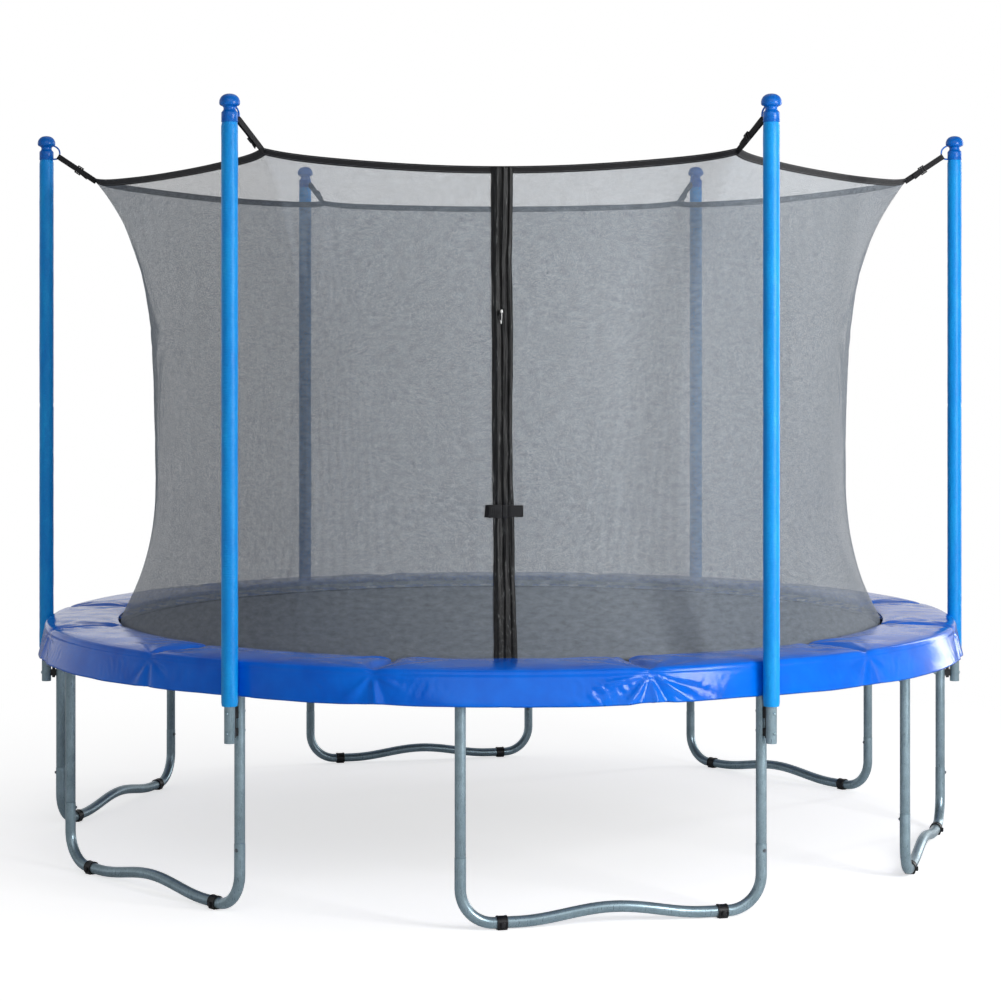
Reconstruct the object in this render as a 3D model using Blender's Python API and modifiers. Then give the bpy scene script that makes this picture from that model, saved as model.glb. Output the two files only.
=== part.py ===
"""Backyard trampoline with a safety enclosure: six-legged steel frame, sprung mat, pad, net and poles.

Metres, +Z up, centred on the ring's axis with the feet on Z = 0. Angles are in degrees round Z from +X.
"""

import math

import bmesh
import bpy
from mathutils import Matrix, Vector

# Driving dimensions -------------------------------------------------------------------------------
LEG_COUNT = 6
PITCH = 360 / LEG_COUNT             # angle from one leg, rail or pole to the next
LEG_SPREAD = 34.3                   # angle between the two uprights of one leg
RAIL_OVERRUN = LEG_SPREAD / 2       # a rail starts under the middle of a leg
GAP = 0.0003                        # air between pieces that touch

TUBE_R = 0.019                      # 38 mm steel tube
WALL = 0.0015
SWAGE_R = 0.0158                    # narrowed tube end that slides into the next tube
SWAGE_LENGTH = 0.06
SWAGE_STEP = 0.002                  # length of the cone between full size and swage
TUBE_SIDES_RESOLUTION = 2           # eight sides

RING_R = 1.811                      # centre line of the ring
RING_Z = 0.855
RAIL_SEGMENTS = 8
RAIL_JOINT_GAP = 0.0018
RAIL_SWAGE_LENGTH = 0.045
SOCKET_R = 0.0215                   # welded leg socket under a rail
SOCKET_SIDES = 12
SOCKET_BORE_R = (TUBE_R + GAP) / math.cos(math.pi / SOCKET_SIDES)
SOCKET_LOW_Z = 0.765
UPRIGHT_TOP_Z = 0.825
BASE_TOP_Z = 0.25                   # joint between the leg base and its two uprights
BASE_R = 0.0197
BASE_Z = 0.0232                     # centre line of the base where it lies on its feet
BASE_BEND_R = 0.12
BASE_FLAT_END = 0.20                # along the chord, where the base starts to rise
BASE_RISE = 0.035

FOOT_ALONG = 0.143                  # from an upright's axis, along the base
FOOT_LENGTH = 0.038
FOOT_WIDTH = 0.050
FOOT_HEIGHT = 0.0465

POLE_R = 1.870                      # circle of the enclosure poles' axes
POLE_LOW_Z = 0.605
POLE_TOP_Z = 2.775
BRACKET_LOW_Z = 0.616
BRACKET_TOP_Z = 0.722
BRACKET_WIDTH = 0.014
BOLT_R = 0.004
BOLT_HEIGHTS = (0.640, 0.708)
SLEEVE_R = 0.0295
SLEEVE_SIDES = 16
SLEEVE_LOW_Z = 0.734
SLEEVE_TOP_Z = 2.7495
CAP_SIDES = 14
CAP_LOW_Z = 2.750
CAP_TOP_Z = 2.848

MAT_R = 1.600
MAT_LOW_Z = 0.8425
MAT_TOP_Z = 0.8455
MAT_FIELD_R = 1.528                 # the open field inside the net
MAT_EDGE_DROP = 0.0006              # the edge outside it lies this much lower
SPRING_COUNT = 72
SPRING_R = 0.009
SPRING_Z = 0.852
SPRING_IN_R = MAT_R + 0.004
SPRING_OUT_R = RING_R * math.cos(math.radians(PITCH / RAIL_SEGMENTS / 2)) - TUBE_R - 2 * GAP
HOOP_R = 0.0025

PAD_IN_R = 1.550
PAD_EDGE_R = 1.8365                 # at a pole, where the skirt passes between pole and upright
PAD_FLARE = 0.045                   # how far the skirt's hem stands out halfway between poles
PAD_LOW_Z = 0.8750
PAD_TOP_Z = 0.8905
SKIRT_LOW_Z = 0.764
SKIRT_THICK = 0.003
PAD_STEPS = 48

NET_THICK = 0.0025
NET_LOW_Z = MAT_TOP_Z + 0.0010
NET_LOW_R = 1.5445
NET_WAIST_Z = 1.62
NET_WAIST_CORNER_R = 1.414
NET_MID_LOW_Z = 1.36                # between the poles the net is straight from here to the hem
NET_MID_LOW_R = 1.385
NET_TOP_CORNER_R = 1.668
NET_TOP_MID_R = 1.445
NET_TOP_Z = 2.676                   # hem at its corners
NET_SAG = 0.029                     # how far the hem hangs down halfway between two corners
NET_FRONT_SAG = 0.065               # and where it carries the zip
NET_STEPS = 48
STRAP_WIDTH = 0.025
STRAP_THICK = 0.004
ZIP_ANGLE = -90.0                   # the zip runs down the middle of the front face
ZIP_LEAN = math.degrees(math.atan2(NET_MID_LOW_R - NET_TOP_MID_R,
                                   NET_TOP_Z - NET_FRONT_SAG - NET_MID_LOW_Z))
SLIDER_SIZE = (0.009, 0.014, 0.040)
SLIDER_Z = 2.085
BUCKLE_Z = 1.392
BUCKLE_HEIGHT = 0.044
BUCKLE_DEPTH = 0.010
BUCKLE_JOINT_X = 0.006              # where the two halves meet
BUCKLE_SOCKET_LENGTH = 0.052
BUCKLE_CLIP_LENGTH = 0.036
PRONG_SIZE = (0.024, 0.0045, 0.026)
PRONG_ROOM = 0.0006


# Small tools --------------------------------------------------------------------------------------
def clear_scene():
    """Removes what the file starts with."""
    for thing in list(bpy.data.objects):
        bpy.data.objects.remove(thing, do_unlink=True)


def collection(name):
    """Makes a collection under the scene."""
    made = bpy.data.collections.new(name)
    bpy.context.scene.collection.children.link(made)
    return made


def polar(radius, angle, z=0.0):
    """A point given by its radius and angle round Z."""
    turn = math.radians(angle)
    return Vector((radius * math.cos(turn), radius * math.sin(turn), z))


def material(name, colour, roughness, metallic=0.0):
    """A plain Principled material."""
    made = bpy.data.materials.new(name)
    made.use_nodes = True
    shader = made.node_tree.nodes["Principled BSDF"]
    shader.inputs["Base Color"].default_value = (*colour, 1.0)
    shader.inputs["Roughness"].default_value = roughness
    shader.inputs["Metallic"].default_value = metallic
    return made


def place(thing, home, look=None):
    """Links an object to its collection only and gives it its material."""
    for old in list(thing.users_collection):
        old.objects.unlink(thing)
    home.objects.link(thing)
    if look is not None:
        thing.data.materials.clear()
        thing.data.materials.append(look)
    return thing


def hide_cutter(thing):
    """Keeps a cutter out of the render and shows it as wire."""
    thing.hide_render = True
    thing.display_type = "WIRE"
    return thing


def smooth(thing, angle=40):
    """Shades the round sides smooth and keeps the edges sharper than the angle."""
    mesh = thing.data
    mesh.shade_smooth()
    mesh.set_sharp_from_angle(angle=math.radians(angle))
    return thing


def from_bmesh(name, shape, home, look=None):
    """Turns a finished bmesh into an object."""
    mesh = bpy.data.meshes.new(name)
    bmesh.ops.recalc_face_normals(shape, faces=shape.faces)
    shape.to_mesh(mesh)
    shape.free()
    made = bpy.data.objects.new(name, mesh)
    return place(made, home, look)


def cylinder(name, home, radius, start, end, sides=12, look=None):
    """A solid cylinder between two points."""
    start, end = Vector(start), Vector(end)
    along = end - start
    shape = bmesh.new()
    bmesh.ops.create_cone(shape, cap_ends=True, segments=sides, radius1=radius, radius2=radius,
                          depth=along.length)
    made = from_bmesh(name, shape, home, look)
    made.location = (start + end) / 2
    made.rotation_euler = along.to_track_quat("Z", "Y").to_euler()
    return made


def box(name, home, size, centre, angle=0.0, look=None):
    """A box turned round Z."""
    shape = bmesh.new()
    bmesh.ops.create_cube(shape, size=1.0)
    bmesh.ops.scale(shape, vec=Vector(size), verts=shape.verts)
    made = from_bmesh(name, shape, home, look)
    made.location = centre
    made.rotation_euler.z = math.radians(angle)
    return made


def path_curve(name, home, points, radius, radii=None, capped=False, resolution=TUBE_SIDES_RESOLUTION):
    """A round bar or an open tube skin along a line of points."""
    curve = bpy.data.curves.new(name, "CURVE")
    curve.dimensions = "3D"
    curve.bevel_depth = radius
    curve.bevel_resolution = resolution
    curve.use_fill_caps = capped
    spline = curve.splines.new("POLY")
    spline.points.add(len(points) - 1)
    for i, point in enumerate(points):
        spline.points[i].co = (*point, 1.0)
        spline.points[i].radius = 1.0 if radii is None else radii[i]
    return place(bpy.data.objects.new(name, curve), home)


def to_mesh(thing, home, look=None, weld=0.00001):
    """Replaces a curve or a modified object by its evaluated mesh."""
    bpy.context.view_layer.update()
    depsgraph = bpy.context.evaluated_depsgraph_get()
    mesh = bpy.data.meshes.new_from_object(thing.evaluated_get(depsgraph))
    shape = bmesh.new()
    shape.from_mesh(mesh)
    bmesh.ops.remove_doubles(shape, verts=shape.verts, dist=weld)
    shape.to_mesh(mesh)
    shape.free()
    name = thing.name
    matrix = thing.matrix_world.copy()
    bpy.data.objects.remove(thing, do_unlink=True)
    mesh.name = name
    made = bpy.data.objects.new(name, mesh)
    made.matrix_world = matrix
    return place(made, home, look)


def solidify(thing, thickness, offset):
    """Gives an open surface a wall."""
    wall = thing.modifiers.new("wall", "SOLIDIFY")
    wall.thickness = thickness
    wall.offset = offset
    wall.use_even_offset = True
    return thing


def hollow_tube(name, home, points, radius, look, wall=WALL, radii=None):
    """An open-ended tube with a wall, along a line of points."""
    skin = to_mesh(path_curve(name, home, points, radius, radii), home, look)
    return smooth(to_mesh(solidify(skin, wall, -1.0), home, look))


def boolean(thing, other, operation):
    """Cuts or joins another object, which stays as the modifier's operand."""
    step = thing.modifiers.new(operation.lower(), "BOOLEAN")
    step.operation = operation
    step.solver = "EXACT"
    step.object = other
    return thing


def bevel(thing, width, segments=1):
    """Rounds the sharp edges."""
    step = thing.modifiers.new("edges", "BEVEL")
    step.width = width
    step.segments = segments
    step.limit_method = "ANGLE"
    return thing


def turned(name, home, outline, steps, look):
    """A turned shape: an outline of (radius, height) points run round Z with Screw."""
    mesh = bpy.data.meshes.new(name)
    points = [(radius, 0.0, height) for radius, height in outline]
    mesh.from_pydata(points, [(i, i + 1) for i in range(len(points) - 1)], [])
    made = place(bpy.data.objects.new(name, mesh), home, look)
    screw = made.modifiers.new("turn", "SCREW")
    screw.steps = steps
    screw.render_steps = steps
    screw.use_merge_vertices = True
    screw.merge_threshold = 0.00001
    screw.use_smooth_shade = True
    return made


def closed(outline):
    """The outline with its first point again at its end."""
    return [*outline, outline[0]]


def blend_in(value, power):
    """0 at 0, 1 at 1, and flatter near 0 the higher the power."""
    return max(0.0, min(1.0, value)) ** power


def off_pole(angle):
    """0 at a pole's angle and 1 halfway between two poles."""
    return 1 - abs((angle % PITCH) / PITCH - 0.5) * 2


# Frame --------------------------------------------------------------------------------------------
def ring_rail(index, parts, cutters, look):
    """One sixth of the ring, with a swaged end and two welded leg sockets."""
    first = index * PITCH - RAIL_OVERRUN
    step = PITCH / RAIL_SEGMENTS
    points = [polar(RING_R, first + step * i, RING_Z) for i in range(RAIL_SEGMENTS + 1)]
    points[0] += (points[1] - points[0]).normalized() * RAIL_JOINT_GAP
    radii = [1.0] * len(points)
    end = points[-1]
    onward = (polar(RING_R, first + PITCH + step, RING_Z) - end).normalized()
    for distance in (SWAGE_STEP, RAIL_SWAGE_LENGTH):
        points.append(end + onward * distance)
        radii.append(SWAGE_R / TUBE_R)
    rail = hollow_tube(f"ring_rail_{index + 1}", parts, points, TUBE_R, look, radii=radii)
    for number, angle in enumerate((index * PITCH, (index + 1) * PITCH - LEG_SPREAD)):
        weld_z = RING_Z - TUBE_R * 0.80
        socket = cylinder(f"{rail.name}_socket_{number}", cutters, SOCKET_R,
                          polar(RING_R, angle, SOCKET_LOW_Z), polar(RING_R, angle, weld_z),
                          sides=SOCKET_SIDES)
        bore = cylinder(f"{rail.name}_bore_{number}", cutters, SOCKET_BORE_R,
                        polar(RING_R, angle, SOCKET_LOW_Z - 0.01),
                        polar(RING_R, angle, UPRIGHT_TOP_Z + 0.002), sides=SOCKET_SIDES)
        boolean(rail, hide_cutter(socket), "UNION")
        boolean(rail, hide_cutter(bore), "DIFFERENCE")
    return rail


def leg_base(index, parts, look):
    """The W-shaped base of one leg: two bends down to the ground with a rise between them."""
    near = polar(RING_R, index * PITCH)
    far = polar(RING_R, index * PITCH - LEG_SPREAD)
    chord = (far - near).length
    along = (far - near).normalized()
    half = [(0.0, BASE_TOP_Z)]
    bend_steps = 4
    for i in range(bend_steps + 1):
        turn = math.radians(90 * i / bend_steps)
        half.append((BASE_BEND_R * (1 - math.cos(turn)), BASE_Z + BASE_BEND_R * (1 - math.sin(turn))))
    rise_steps = 3
    rise_length = chord / 2 - BASE_FLAT_END
    for i in range(rise_steps):
        part = i / rise_steps
        lift = BASE_RISE * (1 - math.cos(math.pi * part)) / 2
        half.append((BASE_FLAT_END + rise_length * part, BASE_Z + lift))
    outline = half + [(chord / 2, BASE_Z + BASE_RISE)]
    outline += [(chord - distance, z) for distance, z in reversed(half)]
    points = [near + along * distance + Vector((0, 0, z)) for distance, z in outline]
    return hollow_tube(f"leg_base_{index + 1}", parts, points, BASE_R, look)


def foot(index, side, parts, cutters, look):
    """A moulded clip round the base, with a flat sole."""
    near = polar(RING_R, index * PITCH)
    far = polar(RING_R, index * PITCH - LEG_SPREAD)
    along = (far - near).normalized()
    heading = math.degrees(math.atan2(along.y, along.x))
    spot = near + along * FOOT_ALONG if side == 0 else far - along * FOOT_ALONG
    name = f"foot_{index * 2 + side + 1:02d}"
    body = box(name, parts, (FOOT_LENGTH, FOOT_WIDTH, FOOT_HEIGHT),
               spot + Vector((0, 0, FOOT_HEIGHT / 2)), heading, look)
    bevel(body, 0.009)
    bore_end = along * FOOT_LENGTH
    bore_r = (BASE_R + GAP) / math.cos(math.pi / 12)
    bore = cylinder(f"{name}_bore", cutters, bore_r, spot - bore_end + Vector((0, 0, BASE_Z)),
                    spot + bore_end + Vector((0, 0, BASE_Z)), sides=12)
    boolean(body, hide_cutter(bore), "DIFFERENCE")
    return body


def upright(index, side, parts, cutters, look):
    """A leg upright: swaged into the base at its foot, bolted to a pole if it stands beside one."""
    angle = index * PITCH - LEG_SPREAD * side
    heights = (BASE_TOP_Z - SWAGE_LENGTH, BASE_TOP_Z, BASE_TOP_Z + SWAGE_STEP, UPRIGHT_TOP_Z)
    points = [polar(RING_R, angle, z) for z in heights]
    swage = SWAGE_R / TUBE_R
    name = f"leg_upright_{index * 2 + side + 1:02d}"
    made = hollow_tube(name, parts, points, TUBE_R, look, radii=[swage, swage, 1.0, 1.0])
    if side == 0:
        for number, z in enumerate(BOLT_HEIGHTS):
            hole = cylinder(f"{name}_hole_{number}", cutters, BOLT_R + 0.0007,
                            polar(RING_R - 0.03, angle, z), polar(RING_R + 0.03, angle, z), sides=8)
            boolean(made, hide_cutter(hole), "DIFFERENCE")
    return made


# Enclosure ----------------------------------------------------------------------------------------
def pole(index, parts, cutters, look):
    """An enclosure pole with its spacer bracket and the two bolts that hold it to a leg."""
    angle = index * PITCH
    made = hollow_tube(f"pole_{index + 1}", parts,
                       [polar(POLE_R, angle, POLE_LOW_Z), polar(POLE_R, angle, POLE_TOP_Z)], TUBE_R, look)
    bracket_in = RING_R + TUBE_R + GAP
    bracket_out = POLE_R - TUBE_R + 0.004
    centre = polar((bracket_in + bracket_out) / 2, angle, (BRACKET_LOW_Z + BRACKET_TOP_Z) / 2)
    bracket = box(f"{made.name}_bracket", cutters,
                  (bracket_out - bracket_in, BRACKET_WIDTH, BRACKET_TOP_Z - BRACKET_LOW_Z), centre, angle)
    boolean(made, hide_cutter(bracket), "UNION")
    head = 0.005
    for number, z in enumerate(BOLT_HEIGHTS):
        shank = cylinder(f"{made.name}_bolt_{number}", cutters, BOLT_R,
                         polar(RING_R - TUBE_R - 0.004, angle, z), polar(POLE_R + 0.010, angle, z), sides=8)
        nut = cylinder(f"{made.name}_nut_{number}", cutters, 0.0075,
                       polar(RING_R - TUBE_R - 0.001 - 2 * head, angle, z),
                       polar(RING_R - TUBE_R - 0.001, angle, z), sides=6)
        dome = cylinder(f"{made.name}_head_{number}", cutters, 0.008,
                        polar(POLE_R + TUBE_R * 0.8, angle, z),
                        polar(POLE_R + TUBE_R + head, angle, z), sides=8)
        boolean(made, hide_cutter(shank), "UNION")
        boolean(made, hide_cutter(nut), "UNION")
        boolean(made, hide_cutter(dome), "UNION")
    return made


def sleeve(index, parts, look):
    """The foam tube in its slippery cover, round a pole."""
    bore = (TUBE_R + 2 * GAP) / math.cos(math.pi / SLEEVE_SIDES)
    outline = [(SLEEVE_R, SLEEVE_TOP_Z), (SLEEVE_R, SLEEVE_LOW_Z), (bore, SLEEVE_LOW_Z),
               (bore, SLEEVE_TOP_Z)]
    made = turned(f"foam_sleeve_{index + 1}", parts, closed(outline), SLEEVE_SIDES, look)
    made.location = polar(POLE_R, index * PITCH)
    return made


def pole_cap(index, parts, cutters, look):
    """The moulded cap on a pole: a socket, a neck, a mushroom head and a D-shaped strap loop."""
    bore = (TUBE_R + GAP) / math.cos(math.pi / CAP_SIDES)
    seat_z = POLE_TOP_Z + 0.0005
    outline = [(0.0, CAP_TOP_Z), (0.0180, CAP_LOW_Z + 0.0955), (0.0310, CAP_LOW_Z + 0.086),
               (0.0360, CAP_LOW_Z + 0.071), (0.0345, CAP_LOW_Z + 0.060), (0.0228, CAP_LOW_Z + 0.052),
               (0.0228, CAP_LOW_Z + 0.042), (0.0288, CAP_LOW_Z + 0.034), (0.0288, CAP_LOW_Z),
               (bore, CAP_LOW_Z), (bore, seat_z), (0.0, seat_z)]
    angle = index * PITCH
    made = turned(f"pole_cap_{index + 1}", parts, outline, CAP_SIDES, look)
    made.location = polar(POLE_R, angle)
    loop_points = []
    centre_z = CAP_LOW_Z + 0.029
    for i in range(9):
        turn = math.radians(-90 + 180 * i / 8)
        reach = 0.021 + 0.0335 * math.cos(turn) ** 0.7
        loop_points.append(polar(POLE_R - reach, angle, centre_z + 0.0265 * math.sin(turn)))
    loop = to_mesh(path_curve(f"{made.name}_loop", cutters, loop_points, 0.0033, capped=True, resolution=1),
                   cutters)
    boolean(made, hide_cutter(loop), "UNION")
    return made


# Jumping bed --------------------------------------------------------------------------------------
def jumping_mat(parts, look):
    """The round woven mat, with its edge outside the net a little lower than the field."""
    edge_z = MAT_TOP_Z - MAT_EDGE_DROP
    outline = [(0.0, MAT_TOP_Z), (MAT_FIELD_R, MAT_TOP_Z), (MAT_FIELD_R + 0.001, edge_z), (MAT_R, edge_z),
               (MAT_R, MAT_LOW_Z), (0.0, MAT_LOW_Z)]
    return turned("jumping_mat", parts, outline, SPRING_COUNT, look)


def spring_set(parts, cutters, look):
    """All the springs as plain bars, tied into one piece by a thin hoop."""
    hoop_r = SPRING_OUT_R - 0.02
    turns = [math.radians(degrees) for degrees in (0, -120, -240)]
    outline = [(hoop_r + HOOP_R * math.cos(turn), SPRING_Z + HOOP_R * math.sin(turn)) for turn in turns]
    made = to_mesh(turned("spring_set", parts, closed(outline), SPRING_COUNT, look), parts, look)
    shape = bmesh.new()
    for i in range(SPRING_COUNT):
        angle = (i + 0.5) * 360 / SPRING_COUNT
        middle = polar((SPRING_IN_R + SPRING_OUT_R) / 2, angle, SPRING_Z)
        turn = Matrix.Rotation(math.radians(angle), 4, "Z") @ Matrix.Rotation(math.radians(90), 4, "Y")
        bmesh.ops.create_cone(shape, cap_ends=True, segments=6, radius1=SPRING_R, radius2=SPRING_R,
                              depth=SPRING_OUT_R - SPRING_IN_R, matrix=Matrix.Translation(middle) @ turn)
    bars = from_bmesh("spring_bars", shape, cutters)
    boolean(made, hide_cutter(bars), "UNION")
    return made


def safety_pad(parts, look):
    """The padded ring over the springs, with a skirt that passes behind each pole and flares between."""
    edge = PAD_EDGE_R
    outline = [(PAD_IN_R, PAD_LOW_Z), (PAD_IN_R - 0.002, PAD_LOW_Z + 0.007),
               (PAD_IN_R + 0.007, PAD_TOP_Z - 0.002), (1.70, PAD_TOP_Z), (edge - 0.010, PAD_TOP_Z - 0.001),
               (edge, PAD_TOP_Z - 0.008), (edge, 0.868), (edge, SKIRT_LOW_Z),
               (edge - SKIRT_THICK, SKIRT_LOW_Z), (edge - SKIRT_THICK, 0.868),
               (edge - SKIRT_THICK - 0.001, PAD_LOW_Z)]
    made = to_mesh(turned("safety_pad", parts, closed(outline), PAD_STEPS, look), parts, look)
    for vertex in made.data.vertices:
        angle = math.degrees(math.atan2(vertex.co.y, vertex.co.x))
        radius = math.hypot(vertex.co.x, vertex.co.y)
        if radius > 1.80:
            drop = (PAD_TOP_Z - vertex.co.z) / (PAD_TOP_Z - SKIRT_LOW_Z)
            flare = PAD_FLARE * (1 - (1 - off_pole(angle)) ** 3) * (0.15 + 0.85 * drop)
            vertex.co.x *= (radius + flare) / radius
            vertex.co.y *= (radius + flare) / radius
    return smooth(made, 30)


def net_top(angle):
    """Height of the top hem, which hangs down between the corners."""
    sag = NET_FRONT_SAG if abs(angle - ZIP_ANGLE) < PITCH / 2 else NET_SAG
    return NET_TOP_Z - sag * (1 - (1 - off_pole(angle)) ** 2)


def net_radius(angle, z):
    """Radius of the net: corners under the poles are drawn outward, most of all at the top hem."""
    top = net_top(angle)
    if z > NET_WAIST_Z:
        lift = blend_in((z - NET_WAIST_Z) / (top - NET_WAIST_Z), 3.0)
        corner = NET_WAIST_CORNER_R + (NET_TOP_CORNER_R - NET_WAIST_CORNER_R) * lift
    else:
        drop = blend_in((NET_WAIST_Z - z) / (NET_WAIST_Z - PAD_TOP_Z), 3.1)
        corner = NET_WAIST_CORNER_R + (NET_LOW_R - NET_WAIST_CORNER_R) * drop
    lean = (z - NET_MID_LOW_Z) / (top - NET_MID_LOW_Z)
    bulge = blend_in((NET_MID_LOW_Z - z) / (NET_MID_LOW_Z - PAD_TOP_Z), 1.8)
    middle = NET_MID_LOW_R + (NET_TOP_MID_R - NET_MID_LOW_R) * max(0.0, lean)
    middle += (NET_LOW_R - NET_MID_LOW_R) * bulge
    return middle + (corner - middle) * (1 - off_pole(angle)) ** 2.2


def enclosure_net(parts, cutters, look):
    """The net wall with its six corner straps, zip flap and the fixed half of the buckle."""
    heights = [NET_TOP_Z, 2.50, 2.28, 2.00, NET_WAIST_Z, NET_MID_LOW_Z, 1.13, 0.98, PAD_TOP_Z, NET_LOW_Z]
    skin = to_mesh(turned("enclosure_net", parts, [(NET_LOW_R, z) for z in heights], NET_STEPS, look),
                   parts, look)
    for vertex in skin.data.vertices:
        angle = math.degrees(math.atan2(vertex.co.y, vertex.co.x))
        share = (vertex.co.z - NET_LOW_Z) / (NET_TOP_Z - NET_LOW_Z)
        z = vertex.co.z + (net_top(angle) - NET_TOP_Z) * share ** 4
        vertex.co = polar(net_radius(angle, z), angle, z)
    made = smooth(to_mesh(solidify(skin, NET_THICK, -1.0), parts, look), 60)
    for index in range(LEG_COUNT):
        angle = index * PITCH
        low = polar(NET_TOP_CORNER_R - 0.014, angle, NET_TOP_Z - 0.014)
        high = polar(POLE_R - 0.0602, angle, CAP_LOW_Z + 0.017)
        strap = strap_bar(f"{made.name}_strap_{index}", cutters, low, high, angle)
        boolean(made, hide_cutter(strap), "UNION")
    length = BUCKLE_SOCKET_LENGTH
    centre = Vector((BUCKLE_JOINT_X - length / 2, -buckle_radius() - BUCKLE_DEPTH / 2 + 0.0028, BUCKLE_Z))
    socket = box(f"{made.name}_buckle", cutters, (length, BUCKLE_DEPTH, BUCKLE_HEIGHT), centre)
    room = box(f"{made.name}_prong_room", cutters, [size + 2 * PRONG_ROOM for size in PRONG_SIZE],
               prong_centre())
    boolean(made, hide_cutter(socket), "UNION")
    boolean(made, hide_cutter(room), "DIFFERENCE")
    return made


def buckle_radius():
    """Radius of the net's leaning front face behind the buckle's upper edge."""
    return net_radius(ZIP_ANGLE, BUCKLE_Z + BUCKLE_HEIGHT / 2)


def prong_centre():
    """Middle of the clip's prongs, inside the socket half and just past its mouth."""
    return Vector((BUCKLE_JOINT_X - PRONG_SIZE[0] / 2 + 0.002, -buckle_radius() - 0.0045, BUCKLE_Z))


def buckle_clip(parts, cutters, look):
    """The half of the side-release buckle that pulls out sideways."""
    length = BUCKLE_CLIP_LENGTH
    centre = Vector((BUCKLE_JOINT_X + GAP + length / 2, -buckle_radius() - 0.0050, BUCKLE_Z))
    made = box("buckle_clip", parts, (length, BUCKLE_DEPTH - 0.002, BUCKLE_HEIGHT), centre, look=look)
    prongs = box("buckle_prongs", cutters, PRONG_SIZE, prong_centre())
    return boolean(made, hide_cutter(prongs), "UNION")


def strap_bar(name, home, low, high, angle):
    """Webbing that stands on edge between two points in one upright plane through the Z axis."""
    shape = bmesh.new()
    bmesh.ops.create_cube(shape, size=1.0)
    along = high - low
    bmesh.ops.scale(shape, vec=Vector((along.length, STRAP_THICK, STRAP_WIDTH)), verts=shape.verts)
    made = from_bmesh(name, shape, home)
    slope = math.atan2(along.z, math.hypot(along.x, along.y))
    turn = Matrix.Rotation(math.radians(angle), 4, "Z") @ Matrix.Rotation(-slope, 4, "Y")
    made.matrix_world = Matrix.Translation((low + high) / 2) @ turn
    return made


def zip_slider(parts, look):
    """The slider and its pull, in front of the net on the straight middle of the zip."""
    radius = net_radius(ZIP_ANGLE, SLIDER_Z) + SLIDER_SIZE[0] / 2 + 0.0008
    made = box("zip_slider", parts, SLIDER_SIZE, polar(radius, ZIP_ANGLE, SLIDER_Z), ZIP_ANGLE, look)
    made.rotation_euler.y = math.radians(-ZIP_LEAN)
    return bevel(made, 0.0025)


def main():
    clear_scene()
    parts = collection("backyard_trampoline")
    cutters = collection("cutters")
    steel = material("galvanised_steel", (0.36, 0.42, 0.45), 0.35, 1.0)
    pole_steel = material("pole_steel", (0.36, 0.42, 0.45), 0.35, 1.0)
    rubber = material("black_plastic", (0.02, 0.02, 0.022), 0.5)
    sleeve_blue = material("sleeve_blue", (0.02, 0.27, 0.72), 0.35)
    cap_blue = material("cap_blue", (0.01, 0.13, 0.50), 0.35)
    pad_blue = material("pad_blue", (0.01, 0.12, 0.60), 0.3)
    mat_black = material("mat_black", (0.02, 0.02, 0.022), 0.6)
    net_black = material("net_black", (0.03, 0.03, 0.032), 0.7)
    spring_zinc = material("spring_zinc", (0.62, 0.63, 0.65), 0.3, 1.0)
    slider_black = material("slider_black", (0.02, 0.02, 0.02), 0.4)

    for index in range(LEG_COUNT):
        ring_rail(index, parts, cutters, steel)
        leg_base(index, parts, steel)
        pole(index, parts, cutters, pole_steel)
        sleeve(index, parts, sleeve_blue)
        pole_cap(index, parts, cutters, cap_blue)
        for side in (0, 1):
            upright(index, side, parts, cutters, steel)
            foot(index, side, parts, cutters, rubber)
    jumping_mat(parts, mat_black)
    spring_set(parts, cutters, spring_zinc)
    safety_pad(parts, pad_blue)
    enclosure_net(parts, cutters, net_black)
    zip_slider(parts, slider_black)
    buckle_clip(parts, cutters, rubber)


main()
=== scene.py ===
"""Looks of the backyard trampoline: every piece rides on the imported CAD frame. Metres, +Z up, front is -Y."""

import contextlib
import math

import bmesh
import bpy
from mathutils import Matrix, Vector, noise


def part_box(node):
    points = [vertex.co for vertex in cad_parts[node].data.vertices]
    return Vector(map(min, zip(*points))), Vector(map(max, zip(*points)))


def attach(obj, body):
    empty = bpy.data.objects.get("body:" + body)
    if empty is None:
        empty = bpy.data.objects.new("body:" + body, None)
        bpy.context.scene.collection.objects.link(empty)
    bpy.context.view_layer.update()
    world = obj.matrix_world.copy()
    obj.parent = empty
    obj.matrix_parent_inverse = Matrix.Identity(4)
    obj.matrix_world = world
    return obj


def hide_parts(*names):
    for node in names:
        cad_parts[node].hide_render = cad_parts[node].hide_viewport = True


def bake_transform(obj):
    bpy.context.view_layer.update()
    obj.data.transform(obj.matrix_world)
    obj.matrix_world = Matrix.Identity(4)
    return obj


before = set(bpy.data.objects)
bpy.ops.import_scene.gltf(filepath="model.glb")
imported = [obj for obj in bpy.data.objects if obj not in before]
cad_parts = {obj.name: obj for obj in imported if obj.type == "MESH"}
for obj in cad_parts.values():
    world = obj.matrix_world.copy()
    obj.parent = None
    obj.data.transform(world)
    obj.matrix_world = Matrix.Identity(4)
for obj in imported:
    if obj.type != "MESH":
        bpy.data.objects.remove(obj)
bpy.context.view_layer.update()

UP = Vector((0, 0, 1))

# Driving dimensions -------------------------------------------------------------------------------
LEG_COUNT = 6
PITCH = 360 / LEG_COUNT
LEG_SPREAD = 34.3                   # angle between a leg's two uprights
TUBE_R = 0.019
SWAGE_R = 0.0172                    # of an upright's end inside its base
SOCKET_R = 0.0215
RING_R = 1.811
RING_Z = 0.855
BASE_TOP_Z = 0.25
BASE_R = 0.0197
BASE_Z = 0.0232
BASE_BEND_R = 0.12
BASE_FLAT_END = 0.20
BASE_RISE = 0.035
FOOT_ALONG = 0.143
POLE_R = 1.870
POLE_LOW_Z = 0.605
BOLT_HEIGHTS = (0.640, 0.708)
SPRING_COUNT = 72

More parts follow.
